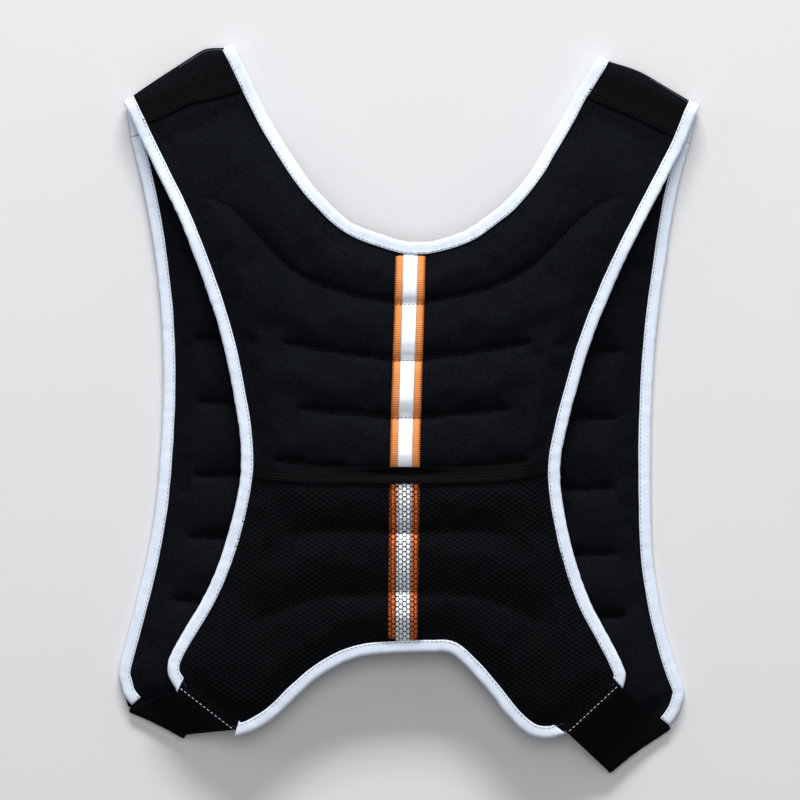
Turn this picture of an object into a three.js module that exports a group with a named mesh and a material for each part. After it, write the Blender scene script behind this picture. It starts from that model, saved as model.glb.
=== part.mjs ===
import * as THREE from 'three';

// Weighted vest lying flat, back up. Millimetres, +Z up, +Y towards the neck, +X to the viewer's right.
// In every table "up" is a share of vestLength above the lowest point of the back,
// and "out" is a share of halfWidth away from the centre line.

// Driving sizes
const vestLength = 465;
const halfWidth = 194.7;
const lean = 5.7;             // sideways lean of the centre line over the whole length

// Panels
const edgeHalf = 1.7;         // half the thickness of a panel at its bound edges
const backFill = 8;           // half the thickness of a back channel at its crest
const frontFill = 7.2;
const backCentreHeight = 30;  // middle surface of the back above the floor, at the centre line
const backEdgeHeight = 25;
const shoulderHeight = 12.6;
const frontEdgeHeight = 3.3;
const frontCentreHeight = 6.3;
const puffRun = 18;           // width over which a panel swells inside its binding
const crownStep = 0.15;       // rows next to a seam, as a share of the channel
const crownDip = 0.35;        // how much of the seam's dip is left at those rows

// Binding
const bindingWidth = 8;
const bindingHalf = 2.9;
const bindingWall = 0.9;
const gap = 0.35;
const edgeInset = bindingWall + 0.15 + gap;
const bindingBorder = bindingWidth + 1.2;

// Ribbon, pocket, elastics, closure
const ribbonWidth = 20;
const reflectorWidth = 10;
const ribbonHalfColumn = 11;
const tapeThick = 0.9;
const reflectorThick = 0.4;
const netThick = 0.8;
const netLift = 2.4;
const elasticThick = 1.6;
const shoulderThick = 2.2;
const foldRadius = 4.6;
const sideFoldRadius = 2.6;
const strapWidth = 20;
const strapThick = 1.8;
const buckleLength = 48;
const buckleWidth = 32;
const buckleThick = 8;
const buckleCorner = 6;
const upperStrapUp = 0.5;
const lowerStrapUp = 0.31;

// Arm edge of the back, from the lower corner to the shoulder
const armTable = [
  { up: 0.072, left: 0.775, right: 0.756 },
  { up: 0.092, left: 0.802, right: 0.766 },
  { up: 0.115, left: 0.800, right: 0.745 },
  { up: 0.150, left: 0.758, right: 0.701 },
  { up: 0.193, left: 0.697, right: 0.645 },
  { up: 0.244, left: 0.641, right: 0.597 },
  { up: 0.301, left: 0.598, right: 0.560 },
  { up: 0.358, left: 0.569, right: 0.536 },
  { up: 0.398, left: 0.561, right: 0.533 },
  { up: 0.444, left: 0.569, right: 0.552 },
  { up: 0.494, left: 0.590, right: 0.581 },
  { up: 0.559, left: 0.623, right: 0.624 },
  { up: 0.623, left: 0.669, right: 0.680 },
  { up: 0.688, left: 0.726, right: 0.747 },
  { up: 0.752, left: 0.789, right: 0.822 },
  { up: 0.809, left: 0.858, right: 0.892 },
  { up: 0.860, left: 0.919, right: 0.951 },
  { up: 0.917, left: 0.986, right: 1.003 },
];

// Neck opening of the back, from the centre line to the shoulder
const neckTable = [
  { out: 0.000, left: 0.712, right: 0.712 },
  { out: 0.068, left: 0.720, right: 0.713 },
  { out: 0.137, left: 0.730, right: 0.720 },
  { out: 0.205, left: 0.744, right: 0.731 },
  { out: 0.274, left: 0.770, right: 0.751 },
  { out: 0.342, left: 0.802, right: 0.775 },
  { out: 0.411, left: 0.845, right: 0.810 },
  { out: 0.479, left: 0.891, right: 0.858 },
  { out: 0.548, left: 0.948, right: 0.910 },
  { out: 0.610, left: 1.000, right: 0.962 },
];

// Lower edge of the back: level at the middle, a slope to each lobe, then the corner edge
const hemTable = [
  { out: 0.000, left: 0.124, right: 0.124 },
  { out: 0.103, left: 0.121, right: 0.125 },
  { out: 0.164, left: 0.116, right: 0.123 },
  { out: 0.226, left: 0.105, right: 0.101 },
  { out: 0.295, left: 0.086, right: 0.069 },
  { out: 0.366, left: 0.059, right: 0.032 },
  { out: 0.438, left: 0.030, right: 0.006 },
  { out: 0.507, left: 0.012, right: 0.001 },
  { out: 0.562, left: 0.004, right: 0.008 },
];
const lobeTip = 0.562;

// Columns across half of the back, as shares of its width at that height
const backColumns = [0.2, 0.32, 0.45, 0.59, 0.72, 0.86];

// Seams of the back: heights at the centre, at four shares of the width and at the arm edge,
// fill of the channel above the seam, and the share of the width where the seam fades
const seamShares = [0, 0.3, 0.5, 0.75, 1];
const backSeams = [
  { at: [0.212, 0.207, 0.192, 0.158, 0.140], fill: 0.90, end: 0.62 },
  { at: [0.297, 0.300, 0.299, 0.292, 0.285], fill: 0.95, end: 0.60 },
  { at: [0.380, 0.386, 0.391, 0.399, 0.403], fill: 1.00, end: 0.74 },
  { at: [0.461, 0.466, 0.471, 0.477, 0.480], fill: 1.00, end: 0.58 },
  { at: [0.543, 0.553, 0.561, 0.573, 0.580], fill: 1.00, end: 0.62 },
  { at: [0.623, 0.645, 0.681, 0.764, 0.790], fill: 0.85, end: 0.78 },
  { at: [0.692, 0.712, 0.745, 0.800, 0.828], fill: 0.80, end: 0.00 },
];
const hemChannelFill = 0.85;

// Strap rows: where each starts on the neck edge (out) and ends on the arm edge (up), and the fill left
const strapRows = [
  { neck: 0.090, left: 0.841, right: 0.833, fill: 0.75 },
  { neck: 0.180, left: 0.850, right: 0.839, fill: 0.70 },
  { neck: 0.260, left: 0.857, right: 0.844, fill: 0.62 },
  { neck: 0.330, left: 0.863, right: 0.848, fill: 0.54 },
  { neck: 0.390, left: 0.868, right: 0.851, fill: 0.45 },
  { neck: 0.450, left: 0.872, right: 0.853, fill: 0.34 },
  { neck: 0.500, left: 0.875, right: 0.855, fill: 0.22 },
  { neck: 0.534, left: 0.877, right: 0.856, fill: 0.10 },
];

// Outer edge of the fronts, from the lower corner to the shoulder
const frontOuterTable = [
  { up: 0.031, left: 0.935, right: 0.930 },
  { up: 0.052, left: 0.956, right: 0.962 },
  { up: 0.066, left: 0.972, right: 0.972 },
  { up: 0.095, left: 0.976, right: 0.947 },
  { up: 0.139, left: 0.952, right: 0.914 },
  { up: 0.197, left: 0.917, right: 0.880 },
  { up: 0.269, left: 0.879, right: 0.855 },
  { up: 0.342, left: 0.853, right: 0.847 },
  { up: 0.429, left: 0.838, right: 0.844 },
  { up: 0.516, left: 0.834, right: 0.849 },
  { up: 0.603, left: 0.843, right: 0.863 },
  { up: 0.690, left: 0.867, right: 0.889 },
  { up: 0.763, left: 0.897, right: 0.914 },
  { up: 0.821, left: 0.930, right: 0.944 },
  { up: 0.869, left: 0.960, right: 0.974 },
];

// Rows of the fronts from the lower corner edge to the shoulder: inner end (out and up on each side),
// outer end (up on each side), fill above the row, and 1 where the row is a seam
const frontRows = [
  { out: 0.722, inLeft: 0.014, inRight: -0.030, left: 0.052, right: 0.033, fill: 0.10, seam: 0 },
  { out: 0.640, inLeft: 0.026, inRight: -0.010, left: 0.085, right: 0.066, fill: 0.55, seam: 0 },
  { out: 0.520, inLeft: 0.050, inRight: 0.028, left: 0.125, right: 0.100, fill: 0.90, seam: 0 },
  { out: 0.390, inLeft: 0.098, inRight: 0.085, left: 0.165, right: 0.140, fill: 1.00, seam: 0 },
  { out: 0.290, inLeft: 0.170, inRight: 0.155, left: 0.208, right: 0.182, fill: 1.00, seam: 1 },
  { out: 0.222, inLeft: 0.282, inRight: 0.262, left: 0.291, right: 0.266, fill: 1.00, seam: 1 },
  { out: 0.208, inLeft: 0.374, inRight: 0.356, left: 0.378, right: 0.359, fill: 1.00, seam: 1 },
  { out: 0.212, inLeft: 0.478, inRight: 0.458, left: 0.484, right: 0.460, fill: 1.00, seam: 1 },
  { out: 0.236, inLeft: 0.568, inRight: 0.552, left: 0.574, right: 0.558, fill: 0.95, seam: 1 },
  { out: 0.292, inLeft: 0.665, inRight: 0.648, left: 0.660, right: 0.645, fill: 0.80, seam: 0 },
  { out: 0.374, inLeft: 0.764, inRight: 0.746, left: 0.740, right: 0.728, fill: 0.50, seam: 0 },
  { out: 0.452, inLeft: 0.845, inRight: 0.826, left: 0.800, right: 0.790, fill: 0.28, seam: 0 },
  { out: 0.510, inLeft: 0.895, inRight: 0.878, left: 0.840, right: 0.830, fill: 0.12, seam: 0 },
  { out: 0.545, inLeft: 0.924, inRight: 0.908, left: 0.864, right: 0.855, fill: 0.02, seam: 0 },
];
const frontColumns = [0.22, 0.5, 0.78];
const frontSeamEnds = { inner: 0.1, outer: 0.72 };

// Shoulder folds: crest of the fold at its outer and inner ends
const foldTable = {
  left: { outerOut: 0.986, outerUp: 0.917, innerOut: 0.610, innerUp: 1.000 },
  right: { outerOut: 1.001, outerUp: 0.911, innerOut: 0.650, innerUp: 0.984 },
};

// Side elastics: the fold line's outer and inner ends
const sideFoldTable = {
  left: { outerOut: 0.940, outerUp: 0.037, innerOut: 0.748, innerUp: -0.002 },
  right: { outerOut: 0.928, outerUp: 0.012, innerOut: 0.718, innerUp: -0.052 },
};

// Section of the binding: distance in from its outer face, and height over the middle surface
const bindingSection = [
  { inward: bindingWidth, height: bindingHalf },
  { inward: 0, height: bindingHalf - 0.4 },
  { inward: 0, height: 0.4 - bindingHalf },
  { inward: bindingWidth, height: -bindingHalf },
  { inward: bindingWidth, height: bindingWall - bindingHalf },
  { inward: bindingWall + 0.15, height: bindingWall - bindingHalf },
  { inward: bindingWall + 0.15, height: bindingHalf - bindingWall },
  { inward: bindingWidth, height: bindingHalf - bindingWall },
];

const sideSign = { left: -1, right: 1 };
const upAxis = new THREE.Vector3(0, 0, 1);

function clamp01(value) {
  return Math.min(1, Math.max(0, value));
}

function ease(from, to, value) {
  const t = clamp01((value - from) / (to - from));
  return t * t * (3 - 2 * t);
}

function mix(a, b, t) {
  return a + (b - a) * t;
}

// Smooth value of one table column at a key
function lookUp(table, key, column, at) {
  let i = 0;
  while (i < table.length - 2 && at > table[i + 1][key]) {
    i += 1;
  }
  const slope = (k) => {
    const low = table[Math.max(0, k - 1)];
    const high = table[Math.min(table.length - 1, k + 1)];
    return (high[column] - low[column]) / (high[key] - low[key]);
  };
  const a = table[i];
  const b = table[i + 1];
  const span = b[key] - a[key];
  const t = (at - a[key]) / span;
  const t2 = t * t;
  const t3 = t2 * t;
  return (2 * t3 - 3 * t2 + 1) * a[column] + (t3 - 2 * t2 + t) * span * slope(i)
    + (3 * t2 - 2 * t3) * b[column] + (t3 - t2) * span * slope(i + 1);
}

// A point of the plan from its shares
function place(side, out, up) {
  return new THREE.Vector2(sideSign[side] * out * halfWidth + lean * up, up * vestLength);
}

// Outline point and inward direction at a key of an edge curve
function edgePoint(curve, side, at, inwardHint) {
  const step = 0.004;
  const point = curve(side, at);
  const along = curve(side, at + step).sub(curve(side, at - step)).normalize();
  const inward = new THREE.Vector2(-along.y, along.x);
  if (inward.dot(inwardHint) < 0) {
    inward.negate();
  }
  return { point, inward };
}

const armCurve = (side, up) => place(side, lookUp(armTable, 'up', side, up), up);
const neckCurve = (side, out) => place(side, Math.abs(out), lookUp(neckTable, 'out', side, Math.abs(out)));
const hemCurve = (side, out) => place(side, Math.abs(out), lookUp(hemTable, 'out', side, Math.abs(out)));
const frontOuterCurve = (side, up) => place(side, lookUp(frontOuterTable, 'up', side, up), up);

function armEdge(side, up) {
  return edgePoint(armCurve, side, up, new THREE.Vector2(-sideSign[side], 0));
}

function neckEdge(side, out) {
  if (out === 0) {
    return { point: neckCurve(side, 0), inward: new THREE.Vector2(0, -1) };
  }
  return edgePoint(neckCurve, side, out, new THREE.Vector2(sideSign[side], -1));
}

function hemEdge(side, out) {
  if (out === 0) {
    return { point: hemCurve(side, 0), inward: new THREE.Vector2(0, 1) };
  }
  return edgePoint(hemCurve, side, out, new THREE.Vector2(0, 1));
}

function frontOuterEdge(side, up) {
  return edgePoint(frontOuterCurve, side, up, new THREE.Vector2(-sideSign[side], 0));
}

const moved = (edge, distance) => edge.point.clone().addScaledVector(edge.inward, distance);

// Shares of a plan point
function sharesOf(p) {
  const up = p.y / vestLength;
  return { out: Math.abs(p.x - lean * up) / halfWidth, up, side: p.x - lean * up < 0 ? 'left' : 'right' };
}

// Middle surface of the back above the floor
function backHeight(p) {
  const { out, up } = sharesOf(p);
  const dome = mix(backCentreHeight, backEdgeHeight, clamp01((out / 0.6) ** 2));
  const alongStrap = up + 0.16 * (out - 0.55);
  return mix(dome, shoulderHeight, ease(0.72, 0.93, alongStrap) * ease(0.15, 0.4, out));
}

// Middle surface of a front above the floor, from the distance to its edge
function frontHeight(edgeDistance) {
  return mix(frontEdgeHeight, frontCentreHeight, ease(bindingBorder, bindingBorder + puffRun, edgeDistance));
}

// Outline samples used to find how far a point is from the bound edges
function sampleEdges(side) {
  const points = [];
  for (let i = 0; i <= 90; i += 1) {
    points.push(armCurve(side, mix(0.072, 0.91, i / 90)));
    points.push(neckCurve(side, mix(0, 0.59, i / 90)));
    points.push(hemCurve(side, mix(0, lobeTip, i / 90)));
    points.push(hemCurve(side, lobeTip).lerp(armCurve(side, 0.072), i / 90));
  }
  return points;
}
const backEdges = [...sampleEdges('left'), ...sampleEdges('right')];

function nearest(points, p) {
  let best = Infinity;
  for (const q of points) {
    best = Math.min(best, q.distanceToSquared(p));
  }
  return Math.sqrt(best);
}

// A closed solid from middle points with thickness above and below, and quads between them
function slab(points, cells) {
  const positions = [];
  for (const p of points) {
    positions.push(...p.at.clone().addScaledVector(p.normal, p.above).toArray());
  }
  for (const p of points) {
    positions.push(...p.at.clone().addScaledVector(p.normal, -p.below).toArray());
  }
  const under = points.length;
  const index = [];
  const edges = new Map();
  for (const [a, b, c, d] of cells) {
    index.push(a, b, c, a, c, d);
    index.push(under + a, under + c, under + b, under + a, under + d, under + c);
    for (const [from, to] of [[a, b], [b, c], [c, d], [d, a]]) {
      edges.set(`${from},${to}`, [from, to]);
    }
  }
  for (const [from, to] of edges.values()) {
    if (!edges.has(`${to},${from}`)) {
      index.push(from, under + to, to, from, under + from, under + to);
    }
  }
  const geometry = new THREE.BufferGeometry();
  geometry.setAttribute('position', new THREE.Float32BufferAttribute(positions, 3));
  geometry.setIndex(index);
  return geometry;
}

// The same for a plain grid of rows
function gridSlab(rows) {
  const points = rows.flat();
  const width = rows[0].length;
  const cells = [];
  const a = rows[0][0].at;
  const across = rows[0][width - 1].at.clone().sub(a);
  const along = rows[1][0].at.clone().sub(a);
  const turned = across.cross(along).dot(rows[0][0].normal) < 0;
  for (let r = 0; r < rows.length - 1; r += 1) {
    for (let c = 0; c < width - 1; c += 1) {
      const corner = r * width + c;
      const quad = [corner, corner + 1, corner + width + 1, corner + width];
      cells.push(turned ? quad.reverse() : quad);
    }
  }
  return slab(points, cells);
}

// A closed strip with the binding's section, swept along stations
function bindingStrip(stations) {
  const count = bindingSection.length;
  const positions = [];
  for (const s of stations) {
    for (const corner of bindingSection) {
      const p = s.at.clone().addScaledVector(s.inward, corner.inward).addScaledVector(s.normal, corner.height);
      positions.push(...p.toArray());
    }
  }
  const first = stations[0];
  const along = stations[1].at.clone().sub(first.at);
  const turned = new THREE.Vector3().crossVectors(first.inward, first.normal).dot(along) > 0;
  const index = [];
  const push = (a, b, c) => (turned ? index.push(a, c, b) : index.push(a, b, c));
  for (let i = 0; i < stations.length - 1; i += 1) {
    for (let k = 0; k < count; k += 1) {
      const a = i * count + k;
      const b = i * count + (k + 1) % count;
      push(a, a + count, b);
      push(b, a + count, b + count);
    }
  }
  const caps = [[0, 1, 6], [0, 6, 7], [1, 2, 6], [2, 5, 6], [2, 3, 5], [3, 4, 5]];
  const last = (stations.length - 1) * count;
  for (const [a, b, c] of caps) {
    push(a, b, c);
    push(last + a, last + c, last + b);
  }
  const geometry = new THREE.BufferGeometry();
  geometry.setAttribute('position', new THREE.Float32BufferAttribute(positions, 3));
  geometry.setIndex(index);
  return geometry;
}

function material(color, roughness) {
  return new THREE.MeshStandardMaterial({ color, roughness, metalness: 0 });
}

const colors = {
  neoprene: 0x15181d,
  binding: 0xe2eaf4,
  orange: 0xe07a2c,
  silver: 0xd5dce8,
  elastic: 0x101215,
  net: 0x17191c,
  webbing: 0x121417,
  plastic: 0x111214,
};

const group = new THREE.Group();
function addPiece(name, geometry, color, roughness) {
  const mesh = new THREE.Mesh(geometry, material(color, roughness));
  mesh.name = name;
  group.add(mesh);
}

// Rows of the quilted back: key rows are the seams, with rows between them that round the channels

function heightAt(at, share) {
  let i = 0;
  while (i < seamShares.length - 2 && share > seamShares[i + 1]) {
    i += 1;
  }
  return mix(at[i], at[i + 1], (share - seamShares[i]) / (seamShares[i + 1] - seamShares[i]));
}

// One point of the back with its thickness
function backPoint(plan, fill, dip, heightFrom = plan) {
  const swell = ease(bindingBorder, bindingBorder + puffRun, nearest(backEdges, plan));
  const half = edgeHalf + (backFill - edgeHalf) * fill * swell * (1 - dip);
  const taut = edgeHalf + (backFill - edgeHalf) * fill * swell * (1 - 0.4 * dip);
  return {
    at: new THREE.Vector3(plan.x, plan.y, backHeight(heightFrom)),
    normal: upAxis,
    above: half,
    below: half,
    taut,
  };
}

// The two thin points of a bound edge, level with each other inside the binding
function edgePair(edge) {
  const rim = moved(edge, edgeInset);
  return [backPoint(moved(edge, bindingBorder), 0, 0, rim), backPoint(rim, 0, 0)];
}

// Half a row from the centre line to the arm edge
function quiltHalf(side, heights, fill, dip, end) {
  const edge = armEdge(side, heights[heights.length - 1]);
  const edgeShares = sharesOf(edge.point);
  const shares = [0, ribbonHalfColumn / (edgeShares.out * halfWidth), ...backColumns];
  const points = shares.map((share, i) => {
    const up = i < 2 ? heights[0] : heightAt(heights, share);
    const plan = place(side, share * edgeShares.out, up);
    return backPoint(plan, fill, dip * (1 - ease(end - 0.12, end + 0.06, share)));
  });
  points.push(...edgePair(edge));
  return { points, edge };
}

// Half of the hem row or of the row along the binding's inner border
function hemHalf(side, distance) {
  const corner = armEdge(side, armTable[0].up);
  const cornerShares = sharesOf(corner.point);
  const tip = hemCurve(side, lobeTip);
  const shares = [0, ribbonHalfColumn / (cornerShares.out * halfWidth), ...backColumns];
  const points = [];
  const stations = [];
  const toCorner = corner.point.clone().sub(tip).normalize();
  const cornerInward = new THREE.Vector2(-toCorner.y, toCorner.x);
  if (cornerInward.y < 0) {
    cornerInward.negate();
  }
  shares.forEach((share, i) => {
    const out = share * cornerShares.out;
    if (i < shares.length - 1) {
      const onHem = hemEdge(side, Math.min(out, lobeTip));
      if (i === shares.length - 2) {
        onHem.point = tip.clone();
        if (distance > edgeInset) {
          onHem.inward.add(cornerInward).normalize().multiplyScalar(1.25);
        }
      }
      points.push(backPoint(moved(onHem, distance), 0, 0, moved(onHem, edgeInset)));
      stations.push(hemEdge(side, Math.min(out, lobeTip)));
    } else {
      const along = tip.clone().lerp(corner.point, 0.5);
      points.push(backPoint(along.addScaledVector(cornerInward, distance === edgeInset ? 0 : distance), 0, 0));
    }
  });
  const shift = distance === edgeInset ? 0 : distance;
  const length = corner.point.distanceTo(tip);
  if (shift > 0) {
    points.push(...edgePair(armEdge(side, armTable[0].up + shift / vestLength)));
  } else {
    const rim = tip.clone().lerp(corner.point, 1 - edgeInset / length);
    points.push(backPoint(tip.clone().lerp(corner.point, 1 - bindingBorder / length), 0, 0, rim));
    points.push(backPoint(rim, 0, 0));
    corner.inward = tip.clone().sub(corner.point).normalize();
  }
  return { points, edge: corner, stations, raised: armEdge(side, armTable[0].up + distance / vestLength) };
}

function strapRow(side, row) {
  const inner = neckEdge(side, row.neck);
  const outer = armEdge(side, row[side]);
  if (row === strapRows[strapRows.length - 1]) {
    inner.inward = outer.point.clone().sub(inner.point).normalize();
    outer.inward = inner.inward.clone().negate();
  }
  const from = moved(inner, bindingBorder);
  const to = moved(outer, bindingBorder);
  const points = edgePair(inner).reverse();
  const count = backColumns.length + 1;
  for (let i = 1; i <= count; i += 1) {
    points.push(backPoint(from.clone().lerp(to, i / (count + 1)), row.fill, 0));
  }
  points.push(...edgePair(outer));
  return { points, inner, outer };
}

// All rows of the quilt, from the hem to the row under the neck binding
const quiltRows = [];
function addQuiltRow(kind, halves) {
  quiltRows.push({ kind, left: halves.left, right: halves.right });
}
const bothSides = (make) => ({ left: make('left'), right: make('right') });

addQuiltRow('hem', bothSides((side) => hemHalf(side, edgeInset)));
addQuiltRow('hemBorder', bothSides((side) => hemHalf(side, bindingBorder)));

// Rows between the hem border and the first seam follow both
function blendRow(side, low, high, t, fill, dip, end) {
  const up = mix(sharesOf(low.edgePoint).up, sharesOf(high.edgePoint).up, t);
  const edge = armEdge(side, up);
  const points = low.plans.map((plan, i) => {
    const blended = plan.clone().lerp(high.plans[i], t);
    const share = i / low.plans.length;
    return backPoint(blended, fill, dip * (1 - ease(end - 0.12, end + 0.06, share)));
  });
  const inside = points.slice(0, backColumns.length + 2);
  inside.push(...edgePair(edge));
  return { points: inside, edge };
}

const planOf = (point) => new THREE.Vector2(point.at.x, point.at.y);
function describe(half) {
  return { plans: half.points.map(planOf), edgePoint: half.edge.point };
}

const hemChannelSteps = [
  { t: 0.14, fill: hemChannelFill * 0.9, dip: 0 },
  { t: 0.45, fill: hemChannelFill, dip: 0 },
  { t: 1 - crownStep, fill: hemChannelFill, dip: crownDip },
];
const firstSeam = bothSides((side) => quiltHalf(side, backSeams[0].at, hemChannelFill, 1, backSeams[0].end));
const hemBorder = quiltRows[1];
for (const step of hemChannelSteps) {
  addQuiltRow('channel', bothSides((side) => {
    const low = describe(hemBorder[side]);
    low.edgePoint = hemBorder[side].raised.point;
    return blendRow(side, low, describe(firstSeam[side]), step.t, step.fill, step.dip, backSeams[0].end);
  }));
}
addQuiltRow('seam', firstSeam);

for (let i = 0; i < backSeams.length - 1; i += 1) {
  const low = backSeams[i];
  const high = backSeams[i + 1];
  const steps = [
    { t: crownStep, dip: crownDip, end: low.end },
    { t: 0.5, dip: 0, end: low.end },
    { t: 1 - crownStep, dip: i === backSeams.length - 2 ? 0 : crownDip, end: high.end },
  ];
  if (i === backSeams.length - 2) {
    steps.pop();
  }
  for (const step of steps) {
    const heights = low.at.map((value, k) => mix(value, high.at[k], step.t));
    addQuiltRow('channel', bothSides((side) => quiltHalf(side, heights, low.fill, step.dip, step.end)));
  }
  const last = i === backSeams.length - 2;
  const dip = last ? 0 : 1;
  addQuiltRow(last ? 'neckBorder' : 'seam', bothSides((side) => quiltHalf(side, high.at, high.fill, dip, high.end)));
}

const halfCount = backColumns.length + 4;
const backPoints = [];
const backCells = [];
const rowIndex = [];
for (const row of quiltRows) {
  const indices = [];
  for (let c = halfCount - 1; c > 0; c -= 1) {
    indices.push(backPoints.push(row.left.points[c]) - 1);
  }
  for (let c = 0; c < halfCount; c += 1) {
    indices.push(backPoints.push(row.right.points[c]) - 1);
  }
  rowIndex.push(indices);
}
for (let r = 0; r < rowIndex.length - 1; r += 1) {
  for (let c = 0; c < rowIndex[r].length - 1; c += 1) {
    backCells.push([rowIndex[r][c], rowIndex[r][c + 1], rowIndex[r + 1][c + 1], rowIndex[r + 1][c]]);
  }
}
const straps = bothSides((side) => strapRows.map((row) => strapRow(side, row)));
const neckCentre = backPoints.push(backPoint(moved(neckEdge('right', 0), edgeInset), 0, 0)) - 1;
const topRow = rowIndex[rowIndex.length - 1];
const middle = halfCount - 1;
for (const side of ['left', 'right']) {
  let previous = [neckCentre];
  for (let c = 0; c < halfCount; c += 1) {
    previous.push(topRow[middle + sideSign[side] * c]);
  }
  for (const row of straps[side]) {
    const current = row.points.map((point) => backPoints.push(point) - 1);
    for (let c = 0; c < current.length - 1; c += 1) {
      const quad = [previous[c], previous[c + 1], current[c + 1], current[c]];
      backCells.push(side === 'right' ? quad : quad.reverse());
    }
    previous = current;
  }
}
addPiece('back_panel', slab(backPoints, backCells), colors.neoprene, 0.85);

// Fronts

const frontInnerTables = bothSides((side) => frontRows.map((row, i) => ({
  step: i,
  out: row.out,
  up: side === 'left' ? row.inLeft : row.inRight,
})));
function frontInnerCurve(side, step) {
  const table = frontInnerTables[side];
  return place(side, lookUp(table, 'step', 'out', step), lookUp(table, 'step', 'up', step));
}
function frontInnerEdge(side, step) {
  const toOuter = frontOuterCurve(side, lookUp(frontRows.map((r, i) => ({ ...r, step: i })), 'step', side, step));
  return edgePoint(frontInnerCurve, side, step, toOuter.sub(frontInnerCurve(side, step)));
}
const frontEdges = bothSides((side) => {
  const points = [];
  const last = frontRows.length - 1;
  for (let i = 0; i <= 120; i += 1) {
    points.push(frontInnerCurve(side, last * i / 120));
    points.push(frontOuterCurve(side, mix(frontRows[0][side], frontRows[last][side], i / 120)));
    points.push(frontInnerCurve(side, 0).lerp(frontOuterCurve(side, frontRows[0][side]), i / 120));
  }
  return points;
});

function frontPoint(side, plan, fill, dip) {
  const distance = nearest(frontEdges[side], plan);
  const swell = ease(bindingBorder, bindingBorder + puffRun, distance);
  const rise = frontHeight(distance) - frontEdgeHeight;
  const height = frontEdgeHeight + rise * clamp01(fill * 1.4);
  const half = edgeHalf + (frontFill - edgeHalf) * fill * swell * (1 - dip);
  return {
    at: new THREE.Vector3(plan.x, plan.y, height),
    normal: upAxis,
    above: half,
    below: Math.min(half, height),
  };
}

function frontRow(side, step, outerUp, fill, dip) {
  const inner = frontInnerEdge(side, step);
  const outer = frontOuterEdge(side, outerUp);
  const from = moved(inner, bindingBorder);
  const to = moved(outer, bindingBorder);
  const points = [frontPoint(side, moved(inner, edgeInset), 0, 0), frontPoint(side, from, 0, 0)];
  for (const share of frontColumns) {
    const fade = ease(frontSeamEnds.inner - 0.1, frontSeamEnds.inner + 0.08, share)
      * (1 - ease(frontSeamEnds.outer - 0.1, frontSeamEnds.outer + 0.1, share));
    points.push(frontPoint(side, from.clone().lerp(to, share), fill, dip * fade));
  }
  points.push(frontPoint(side, to, 0, 0), frontPoint(side, moved(outer, edgeInset), 0, 0));
  return { points, inner, outer };
}

// The lower corner edge is straight, so its row is laid along the line between the two corners
function frontCornerRow(side) {
  const inner = frontInnerEdge(side, 0);
  const outer = frontOuterEdge(side, frontRows[0][side]);
  const length = inner.point.distanceTo(outer.point);
  inner.inward = outer.point.clone().sub(inner.point).normalize();
  outer.inward = inner.inward.clone().negate();
  const shares = [edgeInset / length, bindingBorder / length];
  for (const share of frontColumns) {
    shares.push(mix(bindingBorder / length, 1 - bindingBorder / length, share));
  }
  shares.push(1 - bindingBorder / length, 1 - edgeInset / length);
  const points = shares.map((share) => frontPoint(side, inner.point.clone().lerp(outer.point, share), 0, 0));
  return { points, inner, outer };
}

const fronts = bothSides((side) => {
  const rows = [frontCornerRow(side)];
  for (let i = 0; i < frontRows.length - 1; i += 1) {
    const low = frontRows[i];
    const high = frontRows[i + 1];
    const steps = low.seam || high.seam
      ? [{ t: crownStep, dip: low.seam * crownDip }, { t: 0.5, dip: 0 }, { t: 1 - crownStep, dip: high.seam * crownDip }]
      : [{ t: 0.5, dip: 0 }].slice(i < 4 ? 0 : 1);
    steps.push({ t: 1, dip: high.seam });
    for (const step of steps) {
      const outerUp = mix(low[side], high[side], step.t);
      const fill = mix(low.fill, high.fill, step.t);
      rows.push(frontRow(side, i + step.t, outerUp, fill, step.dip));
    }
  }
  return rows;
});
for (const side of ['left', 'right']) {
  addPiece(`front_panel_${side}`, gridSlab(fronts[side].map((row) => row.points)), colors.neoprene, 0.85);
}

// Shoulder folds: rows from the back strap over the fold to the front strap

function lift(plan, height) {
  return new THREE.Vector3(plan.x, plan.y, height);
}

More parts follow.
